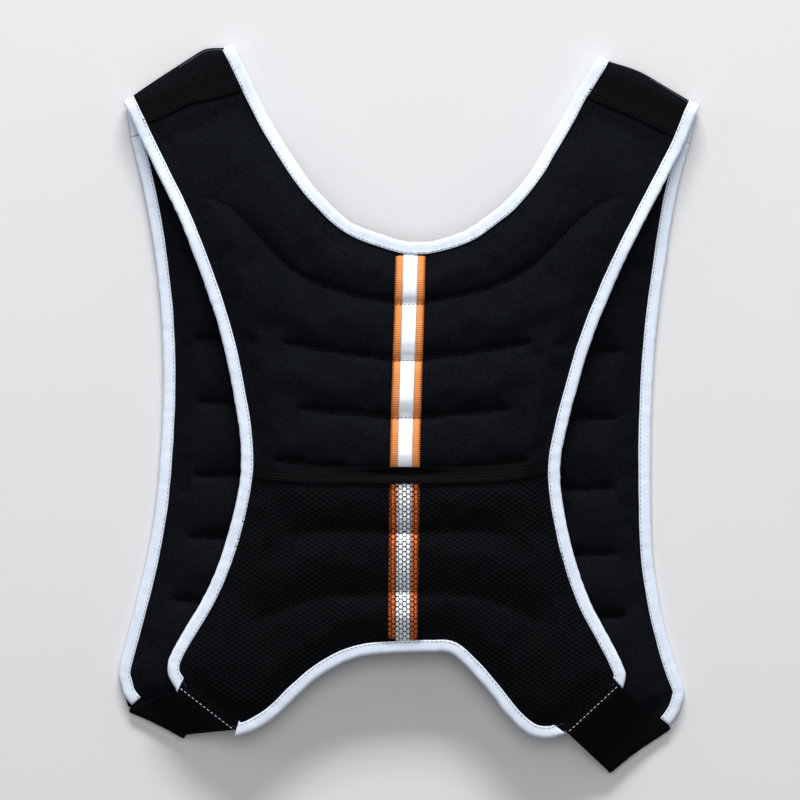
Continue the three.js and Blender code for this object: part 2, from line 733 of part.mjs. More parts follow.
function foldStations(side) {
  const fold = foldTable[side];
  const inner = place(side, fold.innerOut, fold.innerUp);
  const outer = place(side, fold.outerOut, fold.outerUp);
  const across = outer.clone().sub(inner).normalize();
  const outward = new THREE.Vector2(-across.y, across.x);
  if (outward.y < 0) {
    outward.negate();
  }
  const reach = foldRadius + bindingHalf;
  const innerTangent = inner.clone().addScaledVector(outward, -reach);
  const outerTangent = outer.clone().addScaledVector(outward, -reach);
  const backEnd = straps[side][straps[side].length - 1];
  const frontEnd = fronts[side][fronts[side].length - 1];
  const lowHeight = frontEdgeHeight;
  const stations = [];
  const add = (innerAt, outerAt, normal) => {
    const inward = outerAt.clone().sub(innerAt).normalize();
    stations.push({ inner: innerAt, outer: outerAt, inward, normal });
  };
  const backInner = lift(backEnd.inner.point, backHeight(moved(backEnd.inner, edgeInset)));
  const backOuter = lift(backEnd.outer.point, backHeight(moved(backEnd.outer, edgeInset)));
  add(backInner, backOuter, upAxis.clone());
  for (const t of [0.5, 1]) {
    const topHeight = lowHeight + 2 * foldRadius;
    const from = lift(innerTangent, topHeight);
    const to = lift(outerTangent, topHeight);
    add(backInner.clone().lerp(from, t), backOuter.clone().lerp(to, t), upAxis.clone());
  }
  for (let i = 1; i <= 5; i += 1) {
    const angle = Math.PI * i / 5;
    const rise = lowHeight + foldRadius + foldRadius * Math.cos(angle);
    const reachOut = foldRadius * Math.sin(angle);
    const normal = new THREE.Vector3(outward.x * Math.sin(angle), outward.y * Math.sin(angle), Math.cos(angle));
    const from = lift(innerTangent.clone().addScaledVector(outward, reachOut), rise);
    const to = lift(outerTangent.clone().addScaledVector(outward, reachOut), rise);
    add(from, to, normal);
  }
  const frontInner = lift(frontEnd.inner.point, lowHeight);
  const frontOuter = lift(frontEnd.outer.point, lowHeight);
  const innerRun = stations[stations.length - 1].inner;
  const outerRun = stations[stations.length - 1].outer;
  add(innerRun.clone().lerp(frontInner, 0.5), outerRun.clone().lerp(frontOuter, 0.5), upAxis.clone().negate());
  add(frontInner, frontOuter, upAxis.clone().negate());
  return stations;
}
const folds = bothSides((side) => foldStations(side));

// A station moved back along its strip so that two pieces end with a gap
function trimmed(station, towards, distance) {
  const stepIn = towards.inner.clone().sub(station.inner).normalize().multiplyScalar(distance);
  const stepOut = towards.outer.clone().sub(station.outer).normalize().multiplyScalar(distance);
  return {
    ...station,
    inner: station.inner.clone().add(stepIn),
    outer: station.outer.clone().add(stepOut),
  };
}

for (const side of ['left', 'right']) {
  const stations = folds[side].slice();
  stations[0] = trimmed(stations[0], stations[1], gap);
  const last = stations.length - 1;
  stations[last] = trimmed(stations[last], stations[last - 1], gap);
  const rows = stations.map((s) => [0, 0.33, 0.67, 1].map((share) => {
    const from = s.inner.clone().addScaledVector(s.inward, edgeInset);
    const to = s.outer.clone().addScaledVector(s.inward, -edgeInset);
    return {
      at: from.lerp(to, share),
      normal: s.normal,
      above: shoulderThick / 2,
      below: shoulderThick / 2,
    };
  }));
  addPiece(`shoulder_elastic_${side}`, gridSlab(rows), colors.elastic, 0.8);
}

// Bindings

function flatStation(edge, height) {
  return {
    at: lift(edge.point, height),
    inward: new THREE.Vector3(edge.inward.x, edge.inward.y, 0),
    normal: upAxis.clone(),
  };
}
const backStation = (edge) => flatStation(edge, backHeight(moved(edge, edgeInset)));

// The row of the last strap station is skew to its edge, so the fold's own stations blend from it
function foldEdge(side, which) {
  return folds[side].slice(1).map((s) => ({
    at: s[which].clone(),
    inward: which === 'inner' ? s.inward.clone() : s.inward.clone().negate(),
    normal: s.normal.clone(),
  }));
}

const endTrim = gap / 2;
function shorten(stations, atStart, atEnd) {
  const last = stations.length - 1;
  if (atStart) {
    stations[0].at.lerp(stations[1].at, endTrim / stations[0].at.distanceTo(stations[1].at));
  }
  if (atEnd) {
    stations[last].at.lerp(stations[last - 1].at, endTrim / stations[last].at.distanceTo(stations[last - 1].at));
  }
  return stations;
}

const neckHalf = (side) => [
  ...straps[side].map((row) => backStation(row.inner)),
  ...foldEdge(side, 'inner'),
];
const neckStations = [
  ...neckHalf('left').reverse(),
  backStation(neckEdge('right', 0)),
  ...neckHalf('right'),
];
addPiece('neck_binding', bindingStrip(shorten(neckStations, true, true)), colors.binding, 0.6);

for (const side of ['left', 'right']) {
  const stations = quiltRows.slice(1).map((row) => backStation(row[side].raised ?? row[side].edge));
  stations.unshift(backStation(quiltRows[0][side].edge));
  for (const row of straps[side]) {
    stations.push(backStation(row.outer));
  }
  stations.push(...foldEdge(side, 'outer'));
  addPiece(`back_side_binding_${side}`, bindingStrip(shorten(stations, false, true)), colors.binding, 0.6);
}

const hemHalfStations = (side) => quiltRows[0][side].stations.slice(1).map(backStation);
const hemStations = [
  ...hemHalfStations('left').reverse(),
  backStation(hemEdge('right', 0)),
  ...hemHalfStations('right'),
];
addPiece('hem_binding', bindingStrip(hemStations), colors.binding, 0.6);

for (const side of ['left', 'right']) {
  const outer = fronts[side].map((row) => flatStation(row.outer, frontEdgeHeight));
  const inner = fronts[side].map((row) => flatStation(row.inner, frontEdgeHeight));
  addPiece(`front_outer_binding_${side}`, bindingStrip(shorten(outer, false, true)), colors.binding, 0.6);
  addPiece(`front_inner_binding_${side}`, bindingStrip(shorten(inner, false, true)), colors.binding, 0.6);
}

// Side elastics

for (const side of ['left', 'right']) {
  const tip = hemCurve(side, lobeTip);
  const corner = armEdge(side, armTable[0].up).point;
  const length = corner.distanceTo(tip);
  const fold = sideFoldTable[side];
  const foldInner = place(side, fold.innerOut, fold.innerUp);
  const foldOuter = place(side, fold.outerOut, fold.outerUp);
  const across = foldOuter.clone().sub(foldInner).normalize();
  const outward = new THREE.Vector2(-across.y, across.x);
  if (outward.y > 0) {
    outward.negate();
  }
  const reach = sideFoldRadius + elasticThick / 2;
  const innerTangent = foldInner.clone().addScaledVector(outward, -reach);
  const outerTangent = foldOuter.clone().addScaledVector(outward, -reach);
  const backInner = tip.clone().lerp(corner, 0.02);
  const backOuter = tip.clone().lerp(corner, 0.99);
  const backOutward = new THREE.Vector2(corner.y - tip.y, tip.x - corner.x).normalize();
  if (backOutward.y > 0) {
    backOutward.negate();
  }
  const backDrop = bindingHalf + gap;
  const startInner = lift(backInner.clone().addScaledVector(backOutward, gap + 0.6), backHeight(backInner));
  const startOuter = lift(backOuter.clone().addScaledVector(backOutward, gap + 0.6), backHeight(backOuter));
  const topHeight = frontEdgeHeight + 2 * sideFoldRadius;
  const rows = [];
  const add = (from, to, normal) => {
    rows.push([0, 0.33, 0.67, 1].map((share) => ({
      at: from.clone().lerp(to, share),
      normal,
      above: elasticThick / 2,
      below: elasticThick / 2,
    })));
  };
  const endInner = lift(innerTangent, topHeight);
  const endOuter = lift(outerTangent, topHeight);
  add(startInner, startOuter, upAxis);
  const sag = new THREE.Vector3(0, 0, -backDrop * 0.35);
  add(startInner.clone().lerp(endInner, 0.5).add(sag), startOuter.clone().lerp(endOuter, 0.5).add(sag), upAxis);
  add(endInner, endOuter, upAxis);
  for (let i = 1; i <= 4; i += 1) {
    const angle = Math.PI * i / 4;
    const rise = frontEdgeHeight + sideFoldRadius + sideFoldRadius * Math.cos(angle);
    const run = sideFoldRadius * Math.sin(angle);
    const normal = new THREE.Vector3(outward.x * Math.sin(angle), outward.y * Math.sin(angle), Math.cos(angle));
    add(lift(innerTangent.clone().addScaledVector(outward, run), rise),
      lift(outerTangent.clone().addScaledVector(outward, run), rise), normal);
  }
  const cornerRow = fronts[side][0];
  const low = cornerRow.inner.point.clone();
  const high = cornerRow.outer.point.clone();
  const ends = [low.clone().lerp(high, 0.04), low.clone().lerp(high, 0.96)];
  for (const end of ends) {
    end.addScaledVector(outward, gap + 0.5);
  }
  add(lift(ends[0], frontEdgeHeight), lift(ends[1], frontEdgeHeight), upAxis.clone().negate());
  addPiece(`side_elastic_${side}`, gridSlab(rows), colors.elastic, 0.8);
}

// Ribbon down the middle of the back, laid on the same rows as the panel

const ribbonRows = quiltRows.slice(1);
function ribbonSlab(width, from, thick) {
  const rows = ribbonRows.map((row) => {
    const centre = row.right.points[0];
    return [-1, 1].map((sign) => ({
      at: new THREE.Vector3(centre.at.x + sign * width / 2, centre.at.y, centre.at.z + centre.above),
      normal: upAxis,
      above: from + thick,
      below: -from,
    }));
  });
  return gridSlab(rows);
}
addPiece('ribbon_tape', ribbonSlab(ribbonWidth, gap, tapeThick), colors.orange, 0.6);
addPiece('ribbon_reflector', ribbonSlab(reflectorWidth, 2 * gap + tapeThick, reflectorThick), colors.silver, 0.35);

// Pocket: the net keeps clear of the bindings, its elastic lies over the seam at the pocket's mouth

const mouthSeam = quiltRows.findIndex((row) => row.kind === 'seam' && row.left.edge.point.y > 0.4 * vestLength);
function pocketRow(row, from, thick, shift) {
  const full = [];
  const last = halfCount - 2;
  for (let c = last; c > 0; c -= 1) {
    full.push({ point: row.left.points[c], column: c });
  }
  for (let c = 0; c <= last; c += 1) {
    full.push({ point: row.right.points[c], column: c });
  }
  return full.map(({ point, column }) => {
    const atBorder = column === last || (row.kind === 'hemBorder' && column > 1);
    const raise = atBorder ? gap + 0.1 : from;
    return {
      at: new THREE.Vector3(point.at.x, point.at.y + shift, point.at.z + (atBorder ? point.above : point.taut)),
      normal: upAxis,
      above: raise + thick,
      below: -raise,
    };
  });
}
const netRows = quiltRows.slice(1, mouthSeam).map((row, i, all) => (
  pocketRow(row, netLift, netThick, i === all.length - 1 ? -gap - 0.1 : 0)
));
addPiece('pocket_net', gridSlab(netRows), colors.net, 0.7);
const mouthRows = quiltRows.slice(mouthSeam - 1, mouthSeam + 2).map((row) => pocketRow(row, netLift, elasticThick, 0));
addPiece('pocket_elastic', gridSlab(mouthRows), colors.elastic, 0.8);

// Closure at the front: plain webbing and a plain buckle on each level

function innerAtHeight(side, y) {
  let low = 3;
  let high = frontRows.length - 1;
  for (let i = 0; i < 40; i += 1) {
    const middleStep = (low + high) / 2;
    if (frontInnerCurve(side, middleStep).y < y) {
      low = middleStep;
    } else {
      high = middleStep;
    }
  }
  return frontInnerCurve(side, low).x;
}

for (const [level, up] of [['upper', upperStrapUp], ['lower', lowerStrapUp]]) {
  const y = up * vestLength;
  const centre = lean * up;
  for (const side of ['left', 'right']) {
    const rows = [-1, 0, 1].map((step) => {
      const rowY = y + step * strapWidth / 2;
      const from = centre + sideSign[side] * (buckleLength / 2 + gap);
      const to = innerAtHeight(side, rowY) - sideSign[side] * (gap + 0.15);
      return [from, to].map((x) => ({
        at: new THREE.Vector3(x, rowY, frontEdgeHeight),
        normal: upAxis,
        above: strapThick / 2,
        below: strapThick / 2,
      }));
    });
    addPiece(`front_strap_${level}_${side}`, gridSlab(rows), colors.webbing, 0.75);
  }
  const shape = new THREE.Shape();
  const hx = buckleLength / 2 - 1;
  const hy = buckleWidth / 2 - 1;
  const r = buckleCorner;
  shape.moveTo(-hx + r, -hy);
  shape.lineTo(hx - r, -hy);
  shape.quadraticCurveTo(hx, -hy, hx, -hy + r);
  shape.lineTo(hx, hy - r);
  shape.quadraticCurveTo(hx, hy, hx - r, hy);
  shape.lineTo(-hx + r, hy);
  shape.quadraticCurveTo(-hx, hy, -hx, hy - r);
  shape.lineTo(-hx, -hy + r);
  shape.quadraticCurveTo(-hx, -hy, -hx + r, -hy);
  const body = new THREE.ExtrudeGeometry(shape, {
    depth: buckleThick - 2,
    bevelEnabled: true,
    bevelThickness: 1,
    bevelSize: 1,
    bevelSegments: 1,
    curveSegments: 3,
  });
  body.translate(centre, y, 1.6);
  addPiece(`buckle_${level}`, body, colors.plastic, 0.5);
}

// Set the vest on the floor with its box centred on the origin
const box = new THREE.Box3();
for (const mesh of group.children) {
  mesh.geometry.computeBoundingBox();
  box.union(mesh.geometry.boundingBox);
}
const centreX = (box.min.x + box.max.x) / 2;
const centreY = (box.min.y + box.max.y) / 2;
for (const mesh of group.children) {
  mesh.geometry.translate(-centreX, -centreY, -box.min.z);
}

export default group;
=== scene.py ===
import math

import bmesh
import bpy
import numpy as np
from mathutils import Matrix, Vector, noise
from mathutils.bvhtree import BVHTree
from mathutils.kdtree import KDTree


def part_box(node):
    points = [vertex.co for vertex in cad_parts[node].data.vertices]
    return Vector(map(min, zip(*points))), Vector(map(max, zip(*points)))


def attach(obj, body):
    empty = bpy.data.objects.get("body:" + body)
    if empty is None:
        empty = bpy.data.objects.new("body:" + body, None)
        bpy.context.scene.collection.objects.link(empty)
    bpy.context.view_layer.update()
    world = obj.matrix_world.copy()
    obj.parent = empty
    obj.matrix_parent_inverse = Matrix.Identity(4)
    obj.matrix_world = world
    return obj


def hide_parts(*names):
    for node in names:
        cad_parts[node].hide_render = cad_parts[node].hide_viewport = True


print("loading the frame")
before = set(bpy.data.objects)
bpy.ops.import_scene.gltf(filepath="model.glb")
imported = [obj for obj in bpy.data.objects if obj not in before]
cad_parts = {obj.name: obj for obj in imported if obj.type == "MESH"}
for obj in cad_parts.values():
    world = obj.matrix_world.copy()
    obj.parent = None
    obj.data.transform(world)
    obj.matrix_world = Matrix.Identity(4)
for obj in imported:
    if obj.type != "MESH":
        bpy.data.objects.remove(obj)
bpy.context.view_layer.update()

# Plan of the vest. "up" is a share of the length, "out" a share of the half width from the centre line.
vest = {
    "length": 0.465,
    "halfWidth": 0.1947,
    "lean": 0.0057,  # sideways lean of the centre line over the length
    "backCentre": 0.030,  # middle surface of the back above the floor
    "backEdge": 0.025,
    "shoulder": 0.0126,
    "frontEdge": 0.0033,
    "frontCentre": 0.0063,
    "edgeHalf": 0.0017,
    "lobeTip": 0.562,
}
buckleLow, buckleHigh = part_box("buckle_upper")
buckleUp = 0.5
originX = vest["lean"] * buckleUp - (buckleLow.x + buckleHigh.x) / 2
originY = vest["length"] * buckleUp - (buckleLow.y + buckleHigh.y) / 2
sign = {"left": -1, "right": 1}
sides = ("left", "right")

armTable = {
    "up": (0.072, 0.092, 0.115, 0.150, 0.193, 0.244, 0.301, 0.358, 0.398, 0.444,
           0.494, 0.559, 0.623, 0.688, 0.752, 0.809, 0.860, 0.917),
    "left": (0.775, 0.802, 0.800, 0.758, 0.697, 0.641, 0.598, 0.569, 0.561, 0.569,
             0.590, 0.623, 0.669, 0.726, 0.789, 0.858, 0.919, 0.986),
    "right": (0.756, 0.766, 0.745, 0.701, 0.645, 0.597, 0.560, 0.536, 0.533, 0.552,
              0.581, 0.624, 0.680, 0.747, 0.822, 0.892, 0.951, 1.003),
}
neckTable = {
    "out": (0.000, 0.068, 0.137, 0.205, 0.274, 0.342, 0.411, 0.479, 0.548, 0.610),
    "left": (0.712, 0.720, 0.730, 0.744, 0.770, 0.802, 0.845, 0.891, 0.948, 1.000),
    "right": (0.712, 0.713, 0.720, 0.731, 0.751, 0.775, 0.810, 0.858, 0.910, 0.962),
}
hemTable = {
    "out": (0.000, 0.103, 0.164, 0.226, 0.295, 0.366, 0.438, 0.507, 0.562),
    "left": (0.124, 0.121, 0.116, 0.105, 0.086, 0.059, 0.030, 0.012, 0.004),
    "right": (0.124, 0.125, 0.123, 0.101, 0.069, 0.032, 0.006, 0.001, 0.008),
}
frontOuterTable = {
    "up": (0.031, 0.052, 0.066, 0.095, 0.139, 0.197, 0.269, 0.342, 0.429, 0.516,
           0.603, 0.690, 0.763, 0.821, 0.869),
    "left": (0.935, 0.956, 0.972, 0.976, 0.952, 0.917, 0.879, 0.853, 0.838, 0.834,
             0.843, 0.867, 0.897, 0.930, 0.960),
    "right": (0.930, 0.962, 0.972, 0.947, 0.914, 0.880, 0.855, 0.847, 0.844, 0.849,
              0.863, 0.889, 0.914, 0.944, 0.974),
}
# Inner edges of the fronts, row by row from the lower corner to the shoulder
frontInnerTable = {
    "row": tuple(range(14)),
    "out": (0.722, 0.640, 0.520, 0.390, 0.290, 0.222, 0.208, 0.212, 0.236, 0.292, 0.374, 0.452, 0.510, 0.545),
    "left": (0.014, 0.026, 0.050, 0.098, 0.170, 0.282, 0.374, 0.478, 0.568, 0.665, 0.764, 0.845, 0.895, 0.924),
    "right": (-0.030, -0.010, 0.028, 0.085, 0.155, 0.262, 0.356, 0.458, 0.552, 0.648, 0.746, 0.826, 0.878, 0.908),
}
frontOuterRows = {
    "left": (0.052, 0.085, 0.125, 0.165, 0.208, 0.291, 0.378, 0.484, 0.574, 0.660, 0.740, 0.800, 0.840, 0.864),
    "right": (0.033, 0.066, 0.100, 0.140, 0.182, 0.266, 0.359, 0.460, 0.558, 0.645, 0.728, 0.790, 0.830, 0.855),
}
# Where each quilted strap meets its elastic: up at the arm, and out at the neck
strapEnd = {"neck": {"left": 0.534, "right": 0.570}, "left": 0.877, "right": 0.856}
foldEnds = {  # crest of each shoulder fold: outer out, outer up, inner out, inner up
    "left": (0.986, 0.917, 0.610, 1.000),
    "right": (1.001, 0.911, 0.650, 0.984),
}
elasticSeam = {  # where each side elastic is sewn to the back: inner end, outer end
    "left": ((0.5720, 0.0108), (0.7570, 0.0709)),
    "right": ((0.5675, 0.0086), (0.7435, 0.0776)),
}
sideFoldEnds = {
    "left": (0.940, 0.037, 0.748, -0.002),
    "right": (0.928, 0.012, 0.718, -0.052),
}


def clamp01(value):
    return min(1.0, max(0.0, value))


def ease(low, high, value):
    t = clamp01((value - low) / (high - low))
    return t * t * (3 - 2 * t)


def mix(a, b, t):
    return a + (b - a) * t


def lookUp(table, key, column, at):
    # Smooth value of one column of a table
    keys, values = table[key], table[column]
    last = len(keys) - 1
    i = 0
    while i < last - 1 and at > keys[i + 1]:
        i += 1

    def slope(k):
        low, high = max(0, k - 1), min(last, k + 1)
        return (values[high] - values[low]) / (keys[high] - keys[low])

    span = keys[i + 1] - keys[i]
    t = (at - keys[i]) / span
    t2, t3 = t * t, t * t * t
    return (
        (2 * t3 - 3 * t2 + 1) * values[i]
        + (t3 - 2 * t2 + t) * span * slope(i)
        + (3 * t2 - 2 * t3) * values[i + 1]
        + (t3 - t2) * span * slope(i + 1)
    )


def place(side, out, up):
    x = sign[side] * out * vest["halfWidth"] + vest["lean"] * up - originX
    return Vector((x, up * vest["length"] - originY))


def sharesOf(p):
    up = (p[1] + originY) / vest["length"]
    across = p[0] + originX - vest["lean"] * up
    return abs(across) / vest["halfWidth"], up, "left" if across < 0 else "right"


def armCurve(side, up):
    return place(side, lookUp(armTable, "up", side, up), up)


def neckCurve(side, out):
    return place(side, abs(out), lookUp(neckTable, "out", side, abs(out)))


def hemCurve(side, out):
    return place(side, abs(out), lookUp(hemTable, "out", side, abs(out)))


def frontOuterCurve(side, up):
    return place(side, lookUp(frontOuterTable, "up", side, up), up)


def frontInnerCurve(side, row):
    return place(side, lookUp(frontInnerTable, "row", "out", row), lookUp(frontInnerTable, "row", side, row))


def backHeight(p):
    out, up, _ = sharesOf(p)
    dome = mix(vest["backCentre"], vest["backEdge"], clamp01((out / 0.6) ** 2))
    alongStrap = up + 0.16 * (out - 0.55)
    return mix(dome, vest["shoulder"], ease(0.72, 0.93, alongStrap) * ease(0.15, 0.4, out))


def sampled(curve, side, start, end, count):
    return [curve(side, mix(start, end, i / count)) for i in range(count + 1)]


def lifted(p, z):
    return Vector((p.x, p.y, z))


# Plan vector square to another, with its y towards the hem (-1) or the neck (1)
def squareTo(along, way):
    beside = Vector((-along.y, along.x))
    return beside * math.copysign(1.0, beside.y * way)


# One socket of a node tree, so that shader maths reads as Python
class Wire:
    def __init__(self, finish, socket):
        self.finish = finish
        self.socket = socket

    def maths(self, operation, first, second=None):
        inputs = {0: first} if second is None else {0: first, 1: second}
        return self.finish.node("ShaderNodeMath", {"operation": operation}, inputs)

    def __add__(self, other):
        return self.maths("ADD", self, other)

    def __radd__(self, other):
        return self.maths("ADD", other, self)

    def __sub__(self, other):
        return self.maths("SUBTRACT", self, other)

    def __rsub__(self, other):
        return self.maths("SUBTRACT", other, self)

    def __mul__(self, other):
        return self.maths("MULTIPLY", self, other)

    def __pow__(self, other):
        return self.maths("POWER", self, other)

    def sine(self):
        return self.maths("SINE", self)

    def waves(self, period):
        return (self * (fullTurn / period)).sine()

    def atLeast(self, other):
        return self.maths("MAXIMUM", self, other)

    def atMost(self, other):
        return self.maths("MINIMUM", self, other)


class Finish:
    def __init__(self, name, roughness, **uniform):
        self.material = bpy.data.materials.new(name)
        self.material.use_nodes = True
        self.tree = self.material.node_tree
        self.shader = self.tree.nodes["Principled BSDF"]
        self.shader.inputs["Roughness"].default_value = roughness
        for socket, value in uniform.items():
            self.shader.inputs[socket.replace("_", " ")].default_value = value

    def node(self, kind, settings=None, inputs=None, output=0):
        made = self.tree.nodes.new(kind)
        for key, value in (settings or {}).items():
            if key == "stops":
                ramp = made.color_ramp
                while len(ramp.elements) < len(value):
                    ramp.elements.new(0.5)
                for element, (position, color) in zip(ramp.elements, value):
                    element.position = position
                    element.color = (*color, 1)
            else:
                setattr(made, key, value)
        for key, value in (inputs or {}).items():
            if isinstance(value, Wire):
                self.tree.links.new(value.socket, made.inputs[key])
            else:
                made.inputs[key].default_value = value
        return Wire(self, made.outputs[output])

    def place(self):
        return self.node("ShaderNodeTexCoord", output="Object")

    def weave(self):
        return self.node("ShaderNodeUVMap", {"uv_map": "weave"}, output="UV")

    def split(self, vector):
        parts = self.node("ShaderNodeSeparateXYZ", inputs={0: vector})
        return [Wire(self, parts.socket.node.outputs[i]) for i in range(3)]

    def noise(self, scale, detail):
        inputs = {"Vector": self.place(), "Scale": scale, "Detail": detail, "Roughness": 0.5}
        return self.node("ShaderNodeTexNoise", inputs=inputs)

    def cells(self, scale):
        inputs = {"Vector": self.place(), "Scale": scale}
        return self.node("ShaderNodeTexVoronoi", {"feature": "F1"}, inputs, output="Distance")

    def blend(self, factor, first, second):
        node = self.node("ShaderNodeMix", {"data_type": "RGBA"}, {0: factor})
        made = node.socket.node
        for index, value in ((6, first), (7, second)):
            if isinstance(value, Wire):
                self.tree.links.new(value.socket, made.inputs[index])
            else:
                made.inputs[index].default_value = (*value, 1)
        return Wire(self, made.outputs[2])

    def feed(self, socket, wire):
        self.tree.links.new(wire.socket, self.shader.inputs[socket])

    def bump(self, height, strength, distance):
        inputs = {"Height": height, "Strength": strength, "Distance": distance}
        self.feed("Normal", self.node("ShaderNodeBump", inputs=inputs))


print("finishes")
perMillimetre = 1000.0
fullTurn = 6.2832


def neopreneFinish():
    color = {"deep": (0.0010, 0.0013, 0.0019), "worn": (0.0070, 0.0086, 0.0118)}
    f = Finish("neoprene", 0.7, Specular_IOR_Level=0.015, Sheen_Weight=0.006)
    x, y, _ = f.split(f.place())
    loopWide, loopHigh = 0.9, 0.75
    across = (x * (fullTurn * perMillimetre / loopWide)).sine()
    loops = across * (y * (fullTurn * perMillimetre / loopHigh)).sine()
    fuzz = f.noise(1500.0, 2.0)
    speckle = f.noise(620.0, 2.0)
    cloud = f.noise(38.0, 3.0)
    knit = loops * 0.5 + fuzz * 0.9
    tone = (fuzz * 1.5 + speckle * 0.9 + cloud * 0.15 + loops * 0.12 - 0.85).atLeast(0.0).atMost(1.0)
    f.feed("Base Color", f.blend(tone, color["deep"], color["worn"]))
    f.feed("Roughness", 0.62 + fuzz * 0.25)
    f.bump(knit, 0.7, 0.00014)
    return f.material


def bindingFinish():
    # Painted shade: the white tape is coloured darker blue-grey in the hollows between its ribs and in soft noise
    # patches, as if shaded by its crinkles
    color = {"thread": (0.80, 0.86, 0.95), "hollow": (0.50, 0.56, 0.68)}
    f = Finish("binding_tape", 0.7, Sheen_Weight=0.2)
    u, v, _ = f.split(f.weave())
    ribs = v.waves(0.55) * 0.5 + 0.5
    cross = u.waves(0.8) * 0.5 + 0.5
    fuzz = f.noise(1500.0, 2.0)
    # Noise for soft patches of painted shade
    shadePatch = f.noise(55.0, 3.0)
    weave = ribs * 0.6 + cross * 0.25 + fuzz * 0.4
    shade = (1.15 - weave * 0.55 - shadePatch * 0.4).atLeast(0.0).atMost(1.0)
    f.feed("Base Color", f.blend(shade, color["thread"], color["hollow"]))
    f.bump(weave, 0.5, 0.00012)
    return f.material


def ribbonFinish():
    # Painted shade: the valleys between the ribs are coloured darker orange
    color = {"crest": (0.90, 0.300, 0.065), "valleyShade": (0.46, 0.105, 0.016)}
    shadedUnderNet = {"crest": (0.88, 0.185, 0.020), "valleyShade": (0.40, 0.060, 0.006)}  # painted shade of the net: darker, deeper orange where the net lies over the ribbon
    mouth = place("right", 0, 0.3785).y
    f = Finish("orange_ribbon", 0.6, Specular_IOR_Level=0.2, Sheen_Weight=0.04)
    _, v, _ = f.split(f.weave())
    ribs = v.waves(1.5) * 0.5 + 0.5
    fuzz = f.noise(1300.0, 2.0)
    tone = f.noise(70.0, 2.0)
    weave = ribs * 0.7 + fuzz * 0.4
    _, along, _ = f.split(f.place())
    # Painted shade: below the pocket's mouth the ribbon takes the darker colours of the net's shade
    clearOfNet = ((along - mouth) * 300.0 + 0.5).atLeast(0.0).atMost(1.0)
    amount = (weave * 0.9 + tone * 0.25).atMost(1.0)
    under = f.blend(amount, shadedUnderNet["valleyShade"], shadedUnderNet["crest"])
    f.feed("Base Color", f.blend(clearOfNet, under, f.blend(amount, color["valleyShade"], color["crest"])))
    f.bump(weave, 0.8, 0.0003)
    return f.material


def reflectorFinish():
    # Painted glints: the colour is brightest at the centres of the glass beads, greyer silver between them
    color = {"beadGlint": (0.93, 0.96, 1.0), "between": (0.66, 0.74, 0.86)}
    f = Finish("reflective_tape", 0.42, Metallic=0.1)
    beads = f.cells(1800.0)
    cloud = f.noise(60.0, 3.0)
    tone = (1.0 - beads * 0.9 + cloud * 0.25 - 0.1).atMost(1.0)
    f.feed("Base Color", f.blend(tone, color["between"], color["beadGlint"]))
    f.feed("Roughness", 0.34 + cloud * 0.2)
    f.bump(1.0 - beads, 0.25, 0.00005)
    return f.material


def knitElasticFinish():
    # Painted shade: the holes between the knitted dots are coloured near black
    color = {"dot": (0.0160, 0.0166, 0.0178), "holeShade": (0.0005, 0.0005, 0.0007)}
    f = Finish("knit_elastic", 0.7, Specular_IOR_Level=0.02)
    u, v, _ = f.split(f.weave())
    across = u.waves(2.1)
    along = v.waves(1.8)
    dots = (across * along) * 0.5 + 0.5
    fuzz = f.noise(1400.0, 2.0)
    pattern = (dots * 0.85 + fuzz * 0.45 - 0.2).atLeast(0.0).atMost(1.0)
    f.feed("Base Color", f.blend(pattern ** 2.6, color["holeShade"], color["dot"]))
    f.bump(pattern, 0.8, 0.0004)
    return f.material


def wovenElasticFinish():
    # Painted shade: the grooves between the ribs are coloured darker
    color = {"rib": (0.0030, 0.0032, 0.0038), "grooveShade": (0.0005, 0.0005, 0.0007)}
    f = Finish("woven_elastic", 0.66, Specular_IOR_Level=0.03)
    u, v, _ = f.split(f.weave())
    ribs = u.waves(1.5) * 0.5 + 0.5
    picks = v.waves(0.7) * 0.5 + 0.5
    fuzz = f.noise(1500.0, 2.0)
    pattern = ribs * 0.6 + picks * 0.25 + fuzz * 0.3
    f.feed("Base Color", f.blend(pattern.atMost(1.0), color["grooveShade"], color["rib"]))
    f.bump(pattern, 0.7, 0.0003)
    return f.material


def netFinish():
    color = {"yarn": (0.0050, 0.0054, 0.0066), "shade": (0.0015, 0.0017, 0.0021)}
    f = Finish("net_yarn", 0.55, Specular_IOR_Level=0.05)
    twist = f.noise(1800.0, 2.0)
    f.feed("Base Color", f.blend(twist, color["shade"], color["yarn"]))
    f.bump(twist, 0.4, 0.0001)
    return f.material


def threadFinish(name, light, dark):
    f = Finish(name, 0.6)
    twist = f.noise(2500.0, 2.0)
    f.feed("Base Color", f.blend(twist, dark, light))
    f.bump(twist, 0.4, 0.0001)
    return f.material


def webbingFinish():
    # Painted shade: the gaps between the herringbone yarns are coloured darker
    color = {"yarn": (0.019, 0.020, 0.022), "gap": (0.004, 0.004, 0.005)}
    f = Finish("webbing", 0.68)
    u, v, _ = f.split(f.weave())
    herring = (u.waves(2.2) * 1.6 + v * (fullTurn / 1.3)).sine() * 0.5 + 0.5
    fuzz = f.noise(1500.0, 2.0)
    pattern = herring * 0.8 + fuzz * 0.3
    f.feed("Base Color", f.blend(pattern.atMost(1.0), color["gap"], color["yarn"]))
    f.bump(pattern, 0.6, 0.0003)
    return f.material


def plasticFinish():
    f = Finish("buckle_plastic", 0.45)
    grain = f.noise(900.0, 3.0)
    scuffs = f.noise(130.0, 4.0)
    f.feed("Base Color", f.blend(scuffs, (0.010, 0.010, 0.011), (0.019, 0.020, 0.021)))
    f.feed("Roughness", 0.38 + scuffs * 0.2)
    f.bump(grain, 0.25, 0.0001)
    return f.material


